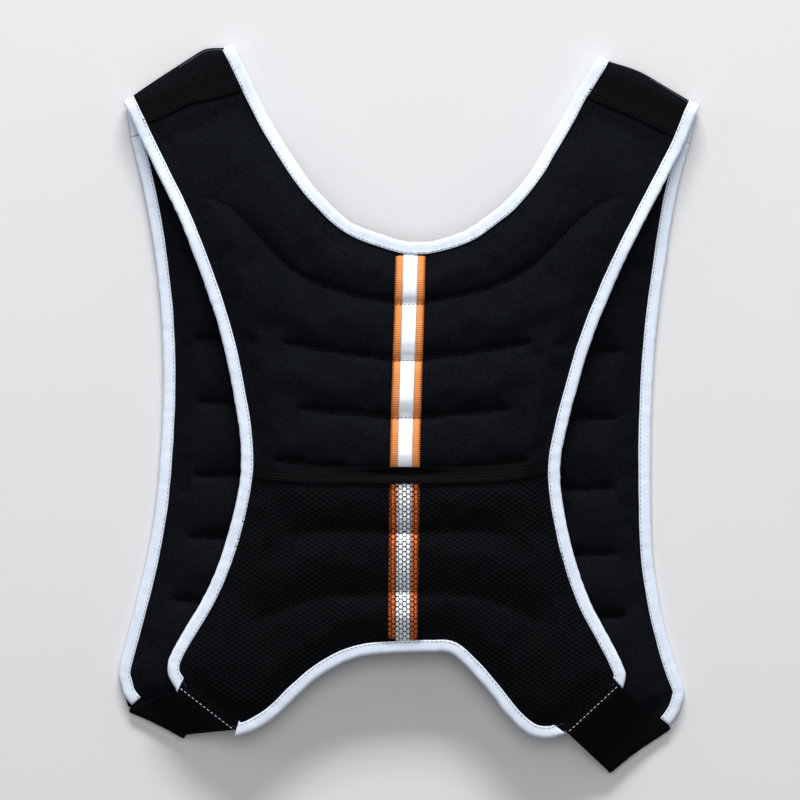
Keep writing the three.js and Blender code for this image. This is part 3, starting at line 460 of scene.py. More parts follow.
finishes = {
    "neoprene": neopreneFinish(),
    "binding": bindingFinish(),
    "ribbon": ribbonFinish(),
    "reflector": reflectorFinish(),
    "knitElastic": knitElasticFinish(),
    "wovenElastic": wovenElasticFinish(),
    "net": netFinish(),
    "stitchThread": threadFinish("stitch_thread", (0.075, 0.080, 0.095), (0.030, 0.033, 0.042)),
    "greyThread": threadFinish("grey_thread", (0.20, 0.21, 0.22), (0.10, 0.11, 0.12)),
    "whiteThread": threadFinish("white_thread", (0.85, 0.88, 0.95), (0.55, 0.58, 0.66)),
    "darkThread": threadFinish("dark_thread", (0.0045, 0.0048, 0.0058), (0.0016, 0.0018, 0.0022)),
    "webbing": webbingFinish(),
    "plastic": plasticFinish(),
}


# Makes an object of a bmesh and gives it a finish
def finishPiece(name, bm, finish, nodes=()):
    mesh = bpy.data.meshes.new(name)
    bm.to_mesh(mesh)
    bm.free()
    mesh.materials.append(finishes[finish])
    for polygon in mesh.polygons:
        polygon.use_smooth = True
    made = bpy.data.objects.new(name, mesh)
    bpy.context.scene.collection.objects.link(made)
    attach(made, "root")
    if nodes:
        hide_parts(*nodes)
    return made


# A grid whose vertices are laid by a function of their shares across and along, with a map in millimetres
def laidGrid(columns, rows, lay, mapSize, closed=False, capped=False):
    bm = bmesh.new()
    uv = bm.loops.layers.uv.new("weave")
    bmesh.ops.create_grid(bm, x_segments=columns, y_segments=rows, size=0.5, calc_uvs=True)
    shares = {v: (clamp01(v.co.x + 0.5), clamp01(v.co.y + 0.5)) for v in bm.verts}
    for face in bm.faces:
        for loop in face.loops:
            s, t = shares[loop.vert]
            loop[uv].uv = (s * mapSize[0] * perMillimetre, t * mapSize[1] * perMillimetre)
    for v, (s, t) in shares.items():
        v.co = lay(s, t)
    if closed:
        bmesh.ops.remove_doubles(bm, verts=bm.verts, dist=1e-6)
    if capped:
        bmesh.ops.holes_fill(bm, edges=[e for e in bm.edges if e.is_boundary], sides=0)
    bmesh.ops.recalc_face_normals(bm, faces=bm.faces)
    return bm


# Small threads laid end to end along a row of points, each with its surface normal
def threadRow(bm, points, normals, length, spacing, radius):
    travelled, nextAt = 0.0, spacing / 2
    for i in range(len(points) - 1):
        step = points[i + 1] - points[i]
        run = step.length
        while run > 0 and travelled + run >= nextAt:
            at = points[i].lerp(points[i + 1], (nextAt - travelled) / run)
            along = step.normalized()
            up = normals[i]
            across = up.cross(along).normalized()
            turn = Matrix((along, across, up)).transposed().to_4x4()
            scale = Matrix.Diagonal((length / 2, radius, radius * 0.8, 1))
            shape = Matrix.Translation(at) @ turn @ scale
            bmesh.ops.create_icosphere(bm, subdivisions=1, radius=1, matrix=shape)
            nextAt += spacing
        travelled += run


# Padded panels
backQuilt = {
    "step": 0.0030,
    "crest": 0.0080,
    "puffRun": 0.018,
    "channelRadius": 0.0165,
    "seamShares": (0, 0.3, 0.5, 0.75, 1),
    "seams": (  # height at each share of the width, and the share where the seam fades
        ((0.212, 0.207, 0.192, 0.158, 0.140), 0.62),
        ((0.297, 0.300, 0.299, 0.292, 0.285), 0.60),
        ((0.380, 0.386, 0.391, 0.399, 0.403), 0.74),
        ((0.461, 0.466, 0.471, 0.477, 0.480), 0.58),
        ((0.543, 0.553, 0.561, 0.573, 0.580), 0.62),
        ((0.623, 0.645, 0.681, 0.764, 0.790), 0.78),
    ),
}
frontQuilt = {
    "step": 0.0032,
    "crest": 0.0072,
    "puffRun": 0.018,
    "channelRadius": 0.017,
    "start": 0.1,
    "end": 0.78,
    "rows": (4, 5, 6, 7, 8),
}
fillCloth = {"frames": 16, "pressure": 4.0, "grow": -0.012, "bend": 6.0, "cap": 0.003}
seamDip = {"depth": 0.0011, "reach": 0.0030, "pucker": 0.5, "puckerScale": 260.0}
inset = 0.0018  # panel edge inside its binding
floorGap = {"shaped": 0.0004, "sewn": 0.0003}  # least height of the front panels
strapTongue = {"length": 0.0050, "inset": 0.0060}  # the panel goes on under the shoulder elastic


# Lower corner of the back, a little past the seam of its elastic
def cornerPoints(side, outBy=0.0012):
    tip, corner = [place(side, *shares) for shares in elasticSeam[side]]
    along = (corner - tip).normalized()
    beyond = squareTo(along, -1) * outBy
    return [tip + along * 0.001 + beyond, corner - along * 0.001 + beyond]


def backOutline():
    points = []
    for side, order in (("right", 1), ("left", -1)):
        half = sampled(hemCurve, side, 0, vest["lobeTip"], 50)
        half += cornerPoints(side)
        half += sampled(armCurve, side, armTable["up"][0], strapEnd[side], 160)
        outer, inner = armCurve(side, strapEnd[side]), neckCurve(side, strapEnd["neck"][side])
        along = (inner - outer).normalized()
        beyond = squareTo(along, 1) * strapTongue["length"]
        aside = along * strapTongue["inset"]
        half += [outer + aside + beyond, inner - aside + beyond]
        half += sampled(neckCurve, side, strapEnd["neck"][side], 0, 90)
        points += half if order == 1 else half[::-1]
    return points


def frontOutline(side):
    last = len(frontInnerTable["row"]) - 1
    points = sampled(frontInnerCurve, side, 0, last, 160)
    points += sampled(frontOuterCurve, side, frontOuterRows[side][-1], frontOuterRows[side][0], 140)
    below = Vector((0.0, -0.0045))
    return points + [points[-1] + below, points[0] + below]


def insideOutline(points, outline):
    ring = np.array([(p.x, p.y) for p in outline])
    after = np.roll(ring, -1, axis=0)
    x, y = points[:, 0][:, None], points[:, 1][:, None]
    crosses = (ring[:, 1] > y) != (after[:, 1] > y)
    span = np.where(after[:, 1] == ring[:, 1], 1e-12, after[:, 1] - ring[:, 1])
    at = ring[:, 0] + (y - ring[:, 1]) / span * (after[:, 0] - ring[:, 0])
    return (np.sum(crosses & (x < at), axis=1) % 2) == 1


def treeOf(points):
    tree = KDTree(len(points))
    for i, p in enumerate(points):
        tree.insert((p[0], p[1], 0), i)
    tree.balance()
    return tree


def densified(outline, spacing):
    points = []
    for i, p in enumerate(outline):
        q = outline[(i + 1) % len(outline)]
        count = max(1, int((q - p).length / spacing))
        points += [p.lerp(q, k / count) for k in range(count)]
    return points


# A two-layer panel on a fine grid, cut to its outline, with vertices drawn onto the seams
def panelMesh(outline, seamPoints, quilt, middle, fill, floorAt=None):
    step = quilt["step"]
    rim = densified(outline, 0.0008)
    rimTree, seamTree = treeOf(rim), treeOf([p for p, _ in seamPoints])
    low = Vector((min(p.x for p in rim), min(p.y for p in rim)))
    high = Vector((max(p.x for p in rim), max(p.y for p in rim)))
    centre, size = (low + high) / 2, high - low
    columns, rows = int(size.x / step), int(size.y / step)
    bm = bmesh.new()
    shape = Matrix.Translation((centre.x, centre.y, 0)) @ Matrix.Diagonal((size.x, size.y, 1, 1))
    bmesh.ops.create_grid(bm, x_segments=columns, y_segments=rows, size=0.5, matrix=shape)
    plan = np.array([(v.co.x, v.co.y) for v in bm.verts])
    keep = insideOutline(plan, outline)
    outside = []
    for v, inside in zip(bm.verts, keep):
        _, _, distance = rimTree.find(v.co)
        if not inside or distance < inset:
            outside.append(v)
    bmesh.ops.delete(bm, geom=outside, context="VERTS")
    spurs = [v for v in bm.verts if len(v.link_faces) < 1]
    bmesh.ops.delete(bm, geom=spurs, context="VERTS")
    for v in bm.verts:
        if v.is_boundary:
            at, _, _ = rimTree.find(v.co)
            away = v.co - Vector((at.x, at.y, 0))
            v.co = Vector((at.x, at.y, 0)) + away.normalized() * inset
            continue
        at, index, distance = seamTree.find(v.co)
        if distance < step * 0.5 and seamPoints[index][1] > 0.2:
            v.co.x, v.co.y = at.x, at.y
    bmesh.ops.solidify(bm, geom=bm.faces[:], thickness=0.001)
    bm.verts.ensure_lookup_table()
    heights = {v: v.co.z for v in bm.verts}
    middleHeight = (min(heights.values()) + max(heights.values())) / 2
    pins = {}
    for v in bm.verts:
        flat = Vector((v.co.x, v.co.y, 0))
        _, _, edge = rimTree.find(flat)
        _, index, seam = seamTree.find(flat)
        weight = seamPoints[index][1]
        swell = ease(0.008, 0.008 + quilt["puffRun"], edge)
        round_ = math.sqrt(max(0.0, 1 - (1 - min(seam / quilt["channelRadius"], 1.0)) ** 2))
        channel = 1 - weight * (1 - round_) * 0.97
        half = vest["edgeHalf"] * 0.9 + (quilt["crest"] - vest["edgeHalf"]) * fill(v.co) * swell * channel
        height = middle(v.co, edge)
        v.co.z = height + half if heights[v] > middleHeight else height - half
        if floorAt is not None:
            v.co.z = max(v.co.z, floorAt)
        sewn = weight * clamp01(1.6 - seam / 0.0011) if seam < 0.0018 else 0
        pins[v.index] = max(sewn, 1.0 - ease(0.0078, 0.0105, edge))
    bm.verts.index_update()
    bmesh.ops.recalc_face_normals(bm, faces=bm.faces)
    return bm, pins


# Fills a panel with air pressure between its pinned seams, so that the cloth puckers there
def fillPanel(piece, pins, floorAt=None):
    mesh = piece.data
    group = piece.vertex_groups.new(name="sewn")
    for index, weight in pins.items():
        if weight > 0.01:
            group.add([index], weight, "REPLACE")
    cloth = piece.modifiers.new("filling", "CLOTH")
    settings = cloth.settings
    settings.quality = 4
    settings.mass = 0.25
    settings.tension_stiffness = 12
    settings.compression_stiffness = 12
    settings.shear_stiffness = 4
    settings.bending_stiffness = fillCloth["bend"]
    settings.use_pressure = True
    settings.uniform_pressure_force = fillCloth["pressure"]
    settings.vertex_group_mass = "sewn"
    settings.pin_stiffness = 1.0
    settings.shrink_min = fillCloth["grow"]
    settings.effector_weights.gravity = 0
    cloth.collision_settings.use_collision = False
    cloth.point_cache.frame_start = 1
    cloth.point_cache.frame_end = fillCloth["frames"]
    scene = bpy.context.scene
    start = np.zeros(len(mesh.vertices) * 3)
    mesh.vertices.foreach_get("co", start)
    for number in range(1, fillCloth["frames"] + 1):
        scene.frame_set(number)
    graph = bpy.context.evaluated_depsgraph_get()
    filled = piece.evaluated_get(graph).to_mesh()
    end = np.zeros(len(mesh.vertices) * 3)
    filled.vertices.foreach_get("co", end)
    piece.evaluated_get(graph).to_mesh_clear()
    scene.frame_set(1)
    piece.modifiers.remove(cloth)
    moved = (end - start).reshape(-1, 3)
    length = np.linalg.norm(moved, axis=1, keepdims=True)
    capped = moved * np.minimum(1.0, fillCloth["cap"] / np.maximum(length, 1e-9))
    final = start.reshape(-1, 3) + capped
    if floorAt is not None:
        final[:, 2] = np.maximum(final[:, 2], floorAt)
    mesh.vertices.foreach_set("co", final.ravel())
    mesh.update()
    piece.vertex_groups.remove(group)
    usual, most = float(np.median(length)) * perMillimetre, float(length.max()) * perMillimetre
    print("  moved by the filling, mm:", round(usual, 2), round(most, 2))


# Doubles the grid, then sinks it along the stitching, with small puckers
def sewn(piece, seamPoints, floorAt=None):
    made = piece.modifiers.new("finer", "SUBSURF")
    made.levels = 1
    made.render_levels = 1
    graph = bpy.context.evaluated_depsgraph_get()
    finer = bpy.data.meshes.new_from_object(piece.evaluated_get(graph))
    piece.modifiers.remove(made)
    piece.data = finer
    seamTree = treeOf([p for p, _ in seamPoints])
    for v in finer.vertices:
        _, index, distance = seamTree.find((v.co.x, v.co.y, 0))
        reach = 1 - min(distance / seamDip["reach"], 1.0)
        if reach > 0:
            pucker = 1 + seamDip["pucker"] * noise.noise(v.co * seamDip["puckerScale"])
            sink = seamDip["depth"] * seamPoints[index][1] * reach * reach * pucker
            v.co.z -= math.copysign(sink, v.normal.z)
        if floorAt is not None:
            v.co.z = max(v.co.z, floorAt)
    finer.update()
    for polygon in finer.polygons:
        polygon.use_smooth = True


def heightAt(heights, share):
    return lookUp({"share": backQuilt["seamShares"], "up": heights}, "share", "up", share)


def backSeamPoints():
    points = []
    for heights, end in backQuilt["seams"]:
        for side in sides:
            width = lookUp(armTable, "up", side, heights[-1])
            count = 220
            for i in range(count + 1):
                share = (end + 0.09) * i / count
                weight = 1 - ease(end - 0.01, end + 0.08, share)
                points.append((place(side, share * width, heightAt(heights, share)), weight))
    return points


def backFill(p):
    out, up, _ = sharesOf(p)
    alongStrap = up + 0.16 * (out - 0.55)
    return mix(1.0, 0.12, ease(0.68, 0.92, alongStrap)) * mix(0.9, 1.0, ease(0.1, 0.4, up))


def frontSeamPoints(side):
    points = []
    for row in frontQuilt["rows"]:
        inner = frontInnerCurve(side, row)
        outer = frontOuterCurve(side, frontOuterRows[side][row])
        for i in range(161):
            share = mix(frontQuilt["start"], frontQuilt["end"] + 0.07, i / 160)
            fading = 1 - ease(frontQuilt["end"] - 0.02, frontQuilt["end"] + 0.06, share)
            points.append((inner.lerp(outer, share), fading * ease(0.1, 0.16, share)))
    return points


def frontFill(p):
    _, up, _ = sharesOf(p)
    return mix(1.0, 0.05, ease(0.60, 0.86, up)) * ease(0.0, 0.13, up + 0.03)


def frontMiddle(p, edge):
    rise = (vest["frontCentre"] - vest["frontEdge"]) * ease(0.009, 0.027, edge)
    return vest["frontEdge"] + rise * clamp01(frontFill(p) * 1.4)


print("back panel")
backBm, backPins = panelMesh(
    backOutline(), backSeamPoints(), backQuilt, lambda p, edge: backHeight(p), backFill
)
back = finishPiece("back_panel_cloth", backBm, "neoprene", ["back_panel"])
fillPanel(back, backPins)
sewn(back, backSeamPoints())

for side in sides:
    print("front panel", side)
    seamPoints = frontSeamPoints(side)
    bm, pins = panelMesh(frontOutline(side), seamPoints, frontQuilt, frontMiddle, frontFill, floorGap["shaped"])
    piece = finishPiece("front_panel_cloth_" + side, bm, "neoprene", ["front_panel_" + side])
    fillPanel(piece, pins, floorGap["shaped"])
    sewn(piece, seamPoints, floorGap["sewn"])


# Upper surface of the filled back on a regular grid, with a taut copy that bridges its hollows
class Surface:
    def __init__(self, piece, step, taut):
        vertices = [v.co for v in piece.data.vertices]
        tree = BVHTree.FromPolygons(vertices, [p.vertices for p in piece.data.polygons])
        corners = np.array(vertices)
        self.step = step
        self.low = corners.min(axis=0)[:2] - 0.012
        high = corners.max(axis=0)[:2] + 0.012
        self.count = ((high - self.low) / step).astype(int) + 2
        self.height = np.zeros(self.count)
        for i in range(self.count[0]):
            for j in range(self.count[1]):
                x, y = self.low[0] + i * step, self.low[1] + j * step
                hit, _, _, _ = tree.ray_cast(Vector((x, y, 0.2)), Vector((0, 0, -1)))
                self.height[i, j] = hit.z if hit else backHeight((x, y)) + vest["edgeHalf"]
        stretched = self.height.copy()
        for _ in range(taut):
            steps = ((1, 0), (-1, 0), (1, 1), (-1, 1))
            beside = [np.roll(stretched, shift, axis) for shift, axis in steps]
            stretched = np.maximum(sum(beside) / len(steps), self.height)
        self.stretched = stretched

    def at(self, x, y, taut=False):
        field = self.stretched if taut else self.height
        u = min(max((x - self.low[0]) / self.step, 0), self.count[0] - 1.001)
        v = min(max((y - self.low[1]) / self.step, 0), self.count[1] - 1.001)
        i, j = int(u), int(v)
        s, t = u - i, v - j
        return mix(mix(field[i, j], field[i + 1, j], s), mix(field[i, j + 1], field[i + 1, j + 1], s), t)


backTop = Surface(back, 0.0015, 14)


# Bindings
# Lower ends of the outer bindings: out and up along the rim, and where the plain edge begins
frontHook = {
    "left": ((0.9284, 0.0468), (0.9450, 0.0544), (0.9600, 0.0640), (0.9675, 0.0760)),
    "right": ((0.9219, 0.0175), (0.9395, 0.0272), (0.9551, 0.0385), (0.9650, 0.0500)),
    "above": {"left": 0.092, "right": 0.062},
}
# Ends of the bindings that run on past their tables
backEnds = {"left": {"arm": (0.7710, 0.0662), "hem": (0.5725, 0.0054)}}
binding = {
    "slant": 0.75,  # their open ends are cut at a slant
    "slantRun": 0.009,
    "width": 0.0080,
    "half": 0.0029,
    "wall": 0.0009,
    "spacing": 0.0019,
    "crinkle": 0.00036,
    "wander": 0.00042,
    "innerWander": 0.00025,
    "around": 0.021,  # width of the tape, unfolded
    "stitchIn": 0.0069,
    "stitch": (0.0026, 0.0030, 0.00019),  # length, spacing, radius
}


class Station:
    def __init__(self, at, inward, normal):
        self.at, self.inward, self.normal = at, inward.normalized(), normal.normalized()


def edgeStation(curve, side, key, hint, height):
    step = 0.003
    point = curve(side, key)
    along = curve(side, key + step) - curve(side, key - step)
    inward = Vector((-along.y, along.x)).normalized()
    if inward.dot(hint) < 0:
        inward.negate()
    rim = point + inward * inset
    return Station(lifted(point, height(rim)), Vector((inward.x, inward.y, 0)), Vector((0, 0, 1)))


def resampled(stations, spacing):
    lengths = [0.0]
    for a, b in zip(stations, stations[1:]):
        lengths.append(lengths[-1] + (b.at - a.at).length)
    count = max(2, round(lengths[-1] / spacing))
    made, k = [], 0
    for i in range(count + 1):
        at = lengths[-1] * i / count
        while k < len(lengths) - 2 and at > lengths[k + 1]:
            k += 1
        t = (at - lengths[k]) / max(lengths[k + 1] - lengths[k], 1e-9)
        a, b = stations[k], stations[k + 1]
        made.append(Station(a.at.lerp(b.at, t), a.inward.lerp(b.inward, t), a.normal.lerp(b.normal, t)))
    return made, lengths[-1]


# Half circle of a fold in equal steps; each end has its lowest height and radius, and the inner one sets the run
def turnRows(inner, outer, outward, steps, innerBend, outerBend):
    rows = []
    for i in range(1, steps + 1):
        angle = math.pi * i / steps
        rises = [low + radius + radius * math.cos(angle) for low, radius in (innerBend, outerBend)]
        run = outward * innerBend[1] * math.sin(angle)
        normal = Vector((outward.x * math.sin(angle), outward.y * math.sin(angle), math.cos(angle)))
        rows.append((lifted(inner + run, rises[0]), lifted(outer + run, rises[1]), normal))
    return rows


def foldStations(side, radius=0.0046, reach=0.0075):
    outerOut, outerUp, innerOut, innerUp = foldEnds[side]
    inner, outer = place(side, innerOut, innerUp), place(side, outerOut, outerUp)
    across = (outer - inner).normalized()
    outward = squareTo(across, 1)
    inner, outer = inner - outward * reach, outer - outward * reach
    low = vest["frontEdge"]
    startInner, startOuter = neckCurve(side, strapEnd["neck"][side]), armCurve(side, strapEnd[side])
    rowAlong = (startOuter - startInner).normalized()
    startInner = lifted(startInner, backHeight(startInner + rowAlong * inset))
    startOuter = lifted(startOuter, backHeight(startOuter - rowAlong * inset))
    up = Vector((0, 0, 1))
    top = low + 2 * radius
    rows = [(startInner, startOuter, up)]
    topInner, topOuter = lifted(inner, top), lifted(outer, top)
    for t in (0.5, 1.0):
        rows.append((startInner.lerp(topInner, t), startOuter.lerp(topOuter, t), up))
    rows += turnRows(inner, outer, outward, 12, (low, radius), (low, radius))
    last = len(frontInnerTable["row"]) - 1
    endInner = lifted(frontInnerCurve(side, last), low)
    endOuter = lifted(frontOuterCurve(side, frontOuterRows[side][last]), low)
    for t in (0.5, 1.0):
        rows.append((lifted(inner, low).lerp(endInner, t), lifted(outer, low).lerp(endOuter, t), -up))
    return rows


folds = {side: foldStations(side) for side in sides}


def foldEdge(side, which):
    stations = []
    for inner, outer, normal in folds[side][1:]:
        along = (outer - inner).normalized()
        at, inward = (inner, along) if which == "inner" else (outer, -along)
        stations.append(Station(at, inward, normal))
    return stations


stitches = bmesh.new()


# Thread on both faces of a binding
def addStitches(path):
    for face in (1, -1):
        points, normals = [], []
        for s in path:
            out = s.normal * face * (binding["half"] * 0.965)
            points.append(s.at + s.inward * binding["stitchIn"] + out)
            normals.append(s.normal * face)
        threadRow(stitches, points, normals, *binding["stitch"])


# Section of a folded tape: inward distance and height, all the way round
def bindingSection():
    width, half, wall = binding["width"], binding["half"], binding["wall"]
    face = ((1, 1), (0.84, 0.93), (0.55, 1.0), (0.25, 0.99))
    outerTurn = [(width * a, half * b) for a, b in face]
    bend = [(0.0010, half * 0.90), (0.0003, half * 0.62), (0.0, half * 0.25)]
    upper = outerTurn + bend
    lower = [(a, -b) for a, b in reversed(upper)]
    inner = half - wall
    hollow = [(width, -inner), (width * 0.5, -inner), (wall, -inner * 0.8)]
    hollow += [(a, -b) for a, b in reversed(hollow)]
    return upper + lower + hollow


def bindingPiece(name, stations, crinkleAt, slant=(0, 0)):
    section = bindingSection()
    count = len(section)
    path, length = resampled(stations, binding["spacing"])
    rows = len(path) - 1
    middle = rows // 2
    ahead = path[middle + 1].at - path[middle].at
    turned = 1 if path[middle].normal.cross(path[middle].inward).dot(ahead) > 0 else -1

    def wave(x, y):
        return noise.noise(Vector((x, y, len(name))))

    def lay(s, t):
        depth, height = section[min(int(round(s * count)), count) % count]
        station = path[min(int(round(t * rows)), rows)]
        along = t * length
        amount = crinkleAt(station.at)
        ripple = wave(along * 190, depth * 120) * binding["crinkle"]
        edgeWave = wave(along * 55, 5.3) * 0.6 + wave(along * 230, 8.8)
        edgeWave *= binding["wander"] * (0.5 + amount) * (1 - depth / binding["width"])
        crease = wave(along * 420, 3.1) * binding["crinkle"] * 1.6
        side = 1 if height > 0 else -1
        fromEnd = min(along, length - along) / binding["slantRun"]
        slanted = (1 - clamp01(fromEnd)) * depth * binding["slant"] * slant[0 if t < 0.5 else 1]
        inward = depth + edgeWave + wave(along * 90, 9.7) * binding["innerWander"] * (depth > 0.003)
        rise = height + side * (ripple + crease * amount) * (depth > 0.0008)
        back = station.normal.cross(station.inward) * (slanted if t < 0.5 else -slanted) * turned
        return station.at + station.inward * inward + station.normal * rise + back

    bm = laidGrid(count, rows, lay, (binding["around"], length), closed=True, capped=True)
    finishPiece(name + "_tape", bm, "binding", [name])
    addStitches(path)


crinkleNeck = neckCurve("left", 0.0)


def neckCrinkle(at):
    return 0.3 + 1.5 * (1 - ease(0.02, 0.075, (Vector((at.x, at.y)) - crinkleNeck).length))


def evenCrinkle(at):
    return 0.35


print("bindings")


def neckHalf(side):
    stations = []
    hint = Vector((sign[side], -1.0))
    for i in range(1, 91):
        out = strapEnd["neck"][side] * i / 90
        stations.append(edgeStation(neckCurve, side, out, hint, backHeight))
    inner, outer, _ = folds[side][0]
    stations[-1].inward = (outer - inner).normalized()
    return stations + foldEdge(side, "inner")


neckMiddle = neckCurve("right", 0)
neckMiddle = Station(lifted(neckMiddle, backHeight(neckMiddle)), Vector((0, -1, 0)), Vector((0, 0, 1)))
stations = neckHalf("left")[::-1] + [neckMiddle] + neckHalf("right")
bindingPiece("neck_binding", stations, neckCrinkle)

for side in sides:
    hint = Vector((-sign[side], 0.0))
    stations = []
    start = armTable["up"][0]
    for i in range(161):
        up = mix(start, strapEnd[side], i / 160)
        stations.append(edgeStation(armCurve, side, up, hint, backHeight))
    if side in backEnds:
        end = place(side, *backEnds[side]["arm"])
        stations.insert(0, Station(lifted(end, backHeight(end)), stations[0].inward, stations[0].normal))
    inner, outer, _ = folds[side][0]
    stations[-1].inward = (inner - outer).normalized()
    stations += foldEdge(side, "outer")
    bindingPiece("back_side_binding_" + side, stations, evenCrinkle, (1, 0))

stations = []
for side, order in (("left", -1), ("right", 1)):
    half = []
    for i in range(1 if order == 1 else 0, 61):
        out = vest["lobeTip"] * i / 60
        half.append(edgeStation(hemCurve, side, out, Vector((0.0, 1.0)), backHeight))
    if side in backEnds:
        end = place(side, *backEnds[side]["hem"])
        half.append(Station(lifted(end, backHeight(end)), half[-1].inward, half[-1].normal))
    stations += half[::order]
bindingPiece("hem_binding", stations, evenCrinkle, (1, 1))


def frontHeight(p):
    return vest["frontEdge"]


for side in sides:
    last = len(frontInnerTable["row"]) - 1
    hook = [place(side, *shares) for shares in frontHook[side]]
    hook.append(frontOuterCurve(side, frontHook["above"][side]))
    outer = []
    for i in range(4):
        run = hook[i + 1] - hook[max(0, i - 1)]
        inward = Vector((run.y, -run.x, 0)) * -sign[side]
        outer.append(Station(lifted(hook[i], vest["frontEdge"]), inward, Vector((0, 0, 1))))
    for i in range(121):
        up = mix(frontHook["above"][side], frontOuterRows[side][-1], i / 120)
        hint = Vector((-sign[side], 0.0))
        outer.append(edgeStation(frontOuterCurve, side, up, hint, frontHeight))
    inner = []
    for i in range(141):
        row = last * i / 140
        nearestOuter = frontOuterCurve(side, frontOuterRows[side][min(int(round(row)), last)])
        hint = nearestOuter - frontInnerCurve(side, row)
        inner.append(edgeStation(frontInnerCurve, side, row, hint, frontHeight))
    bindingPiece("front_outer_binding_" + side, outer, evenCrinkle)
    bindingPiece("front_inner_binding_" + side, inner, evenCrinkle)

finishPiece("binding_stitches", stitches, "stitchThread")


# Elastics: a smooth sheet round each fold, and on the shoulders a knitted band across it
shoulder = {"thick": 0.0022, "edge": 0.0014, "columns": 40}
threadSizes = {  # length, spacing, radius
    "fold": (0.0016, 0.0015, 0.00018),
    "corner": (0.0023, 0.0032, 0.00019),
    "seam": (0.0024, 0.0031, 0.00014),
    "overRibbon": (0.0026, 0.0028, 0.00020),
}
band = {
    "inset": 0.0071,
    "width": 0.0223,
    "widen": {"left": 0.0055, "right": 0.0020},
    "thick": 0.0013,
    "ridge": 0.00012,
    "ridgeEvery": 0.0028,
    "overPanel": 0.0021,  # above the strap's middle surface, where the quilted panel ends under it
    "overSheet": 0.0017,
    "bow": {"left": 0.0030, "right": 0.0006},  # sag of its lower edge towards the fold
    "bulge": {"left": 0.0084, "right": 0.0062},  # the fold stands out more at its inner end
    "peak": {"left": 0.25, "right": 0.48},
    "follow": {"left": 1.0, "right": 0.35},  # share of the bulge that the band goes along with
    "edgeLine": {"left": (0.02, 0.46), "right": (0.50, 0.98)},  # thread on the crest, from inside out
}


# A strip between an inner and an outer rail that run over the same rows
class Track:
    def __init__(self, rows):
        self.rows = rows
        self.rails = [self.measured(0), self.measured(1)]

    def measured(self, which):
        lengths = [0.0]
        for a, b in zip(self.rows, self.rows[1:]):
            lengths.append(lengths[-1] + (a[which] - b[which]).length)
        return lengths

    def on(self, which, distance):
        lengths, k = self.rails[which], 0
        while k < len(lengths) - 2 and distance > lengths[k + 1]:
            k += 1
        f = clamp01((distance - lengths[k]) / max(lengths[k + 1] - lengths[k], 1e-9))
        a, b = self.rows[k], self.rows[k + 1]
        return a[which].lerp(b[which], f), a[2].lerp(b[2], f).normalized()

    def at(self, s, inner, outer):
        a, up = self.on(0, inner)
        b, down = self.on(1, outer)
        return a.lerp(b, s), up.lerp(down, s).normalized()

    def size(self):
        width = sum((a - b).length for a, b, _ in self.rows) / len(self.rows)
        return width, (self.rails[0][-1] + self.rails[1][-1]) / 2


# A point that runs across the top of a strip and back underneath: the turn, up to 2, and the share of the width
def around(s):
    turn = s * 2
    return turn, turn if turn <= 1 else 2 - turn


# Height of that point on a strip with square edges, above its lower face
def raisedBy(s, thick):
    turn, share = around(s)
    if share in (0, 1):
        return thick / 2
    return thick if turn < 1 else 0.0


# Its share, and its height on a rounded strip as a share of half the thickness
def wrapped(s, rounding):
    turn, share = around(s)
    edge = min(1.0, min(share, 1 - share) / rounding)
    return share, (1 if turn < 1 else -1) * math.sqrt(max(0.0, 1 - (1 - edge) ** 2))


def sheetOn(track, thick, columns, steps, bulge=None):
    width, length = track.size()

    def lay(s, t):
        share, face = wrapped(s, 0.03)
        point, normal = track.at(share, t * track.rails[0][-1], t * track.rails[1][-1])
        if bulge:
            point = point + bulge(share, t * track.rails[0][-1])
        return point + normal * face * thick / 2

    return laidGrid(columns * 2, steps, lay, (width * 2, length), closed=True, capped=True), width, length


def narrowed(fold, amount):
    rows = []
    for inner, outer, normal in fold:
        along = (outer - inner).normalized()
        rows.append((inner + along * amount, outer - along * amount, normal))
    return Track(rows)


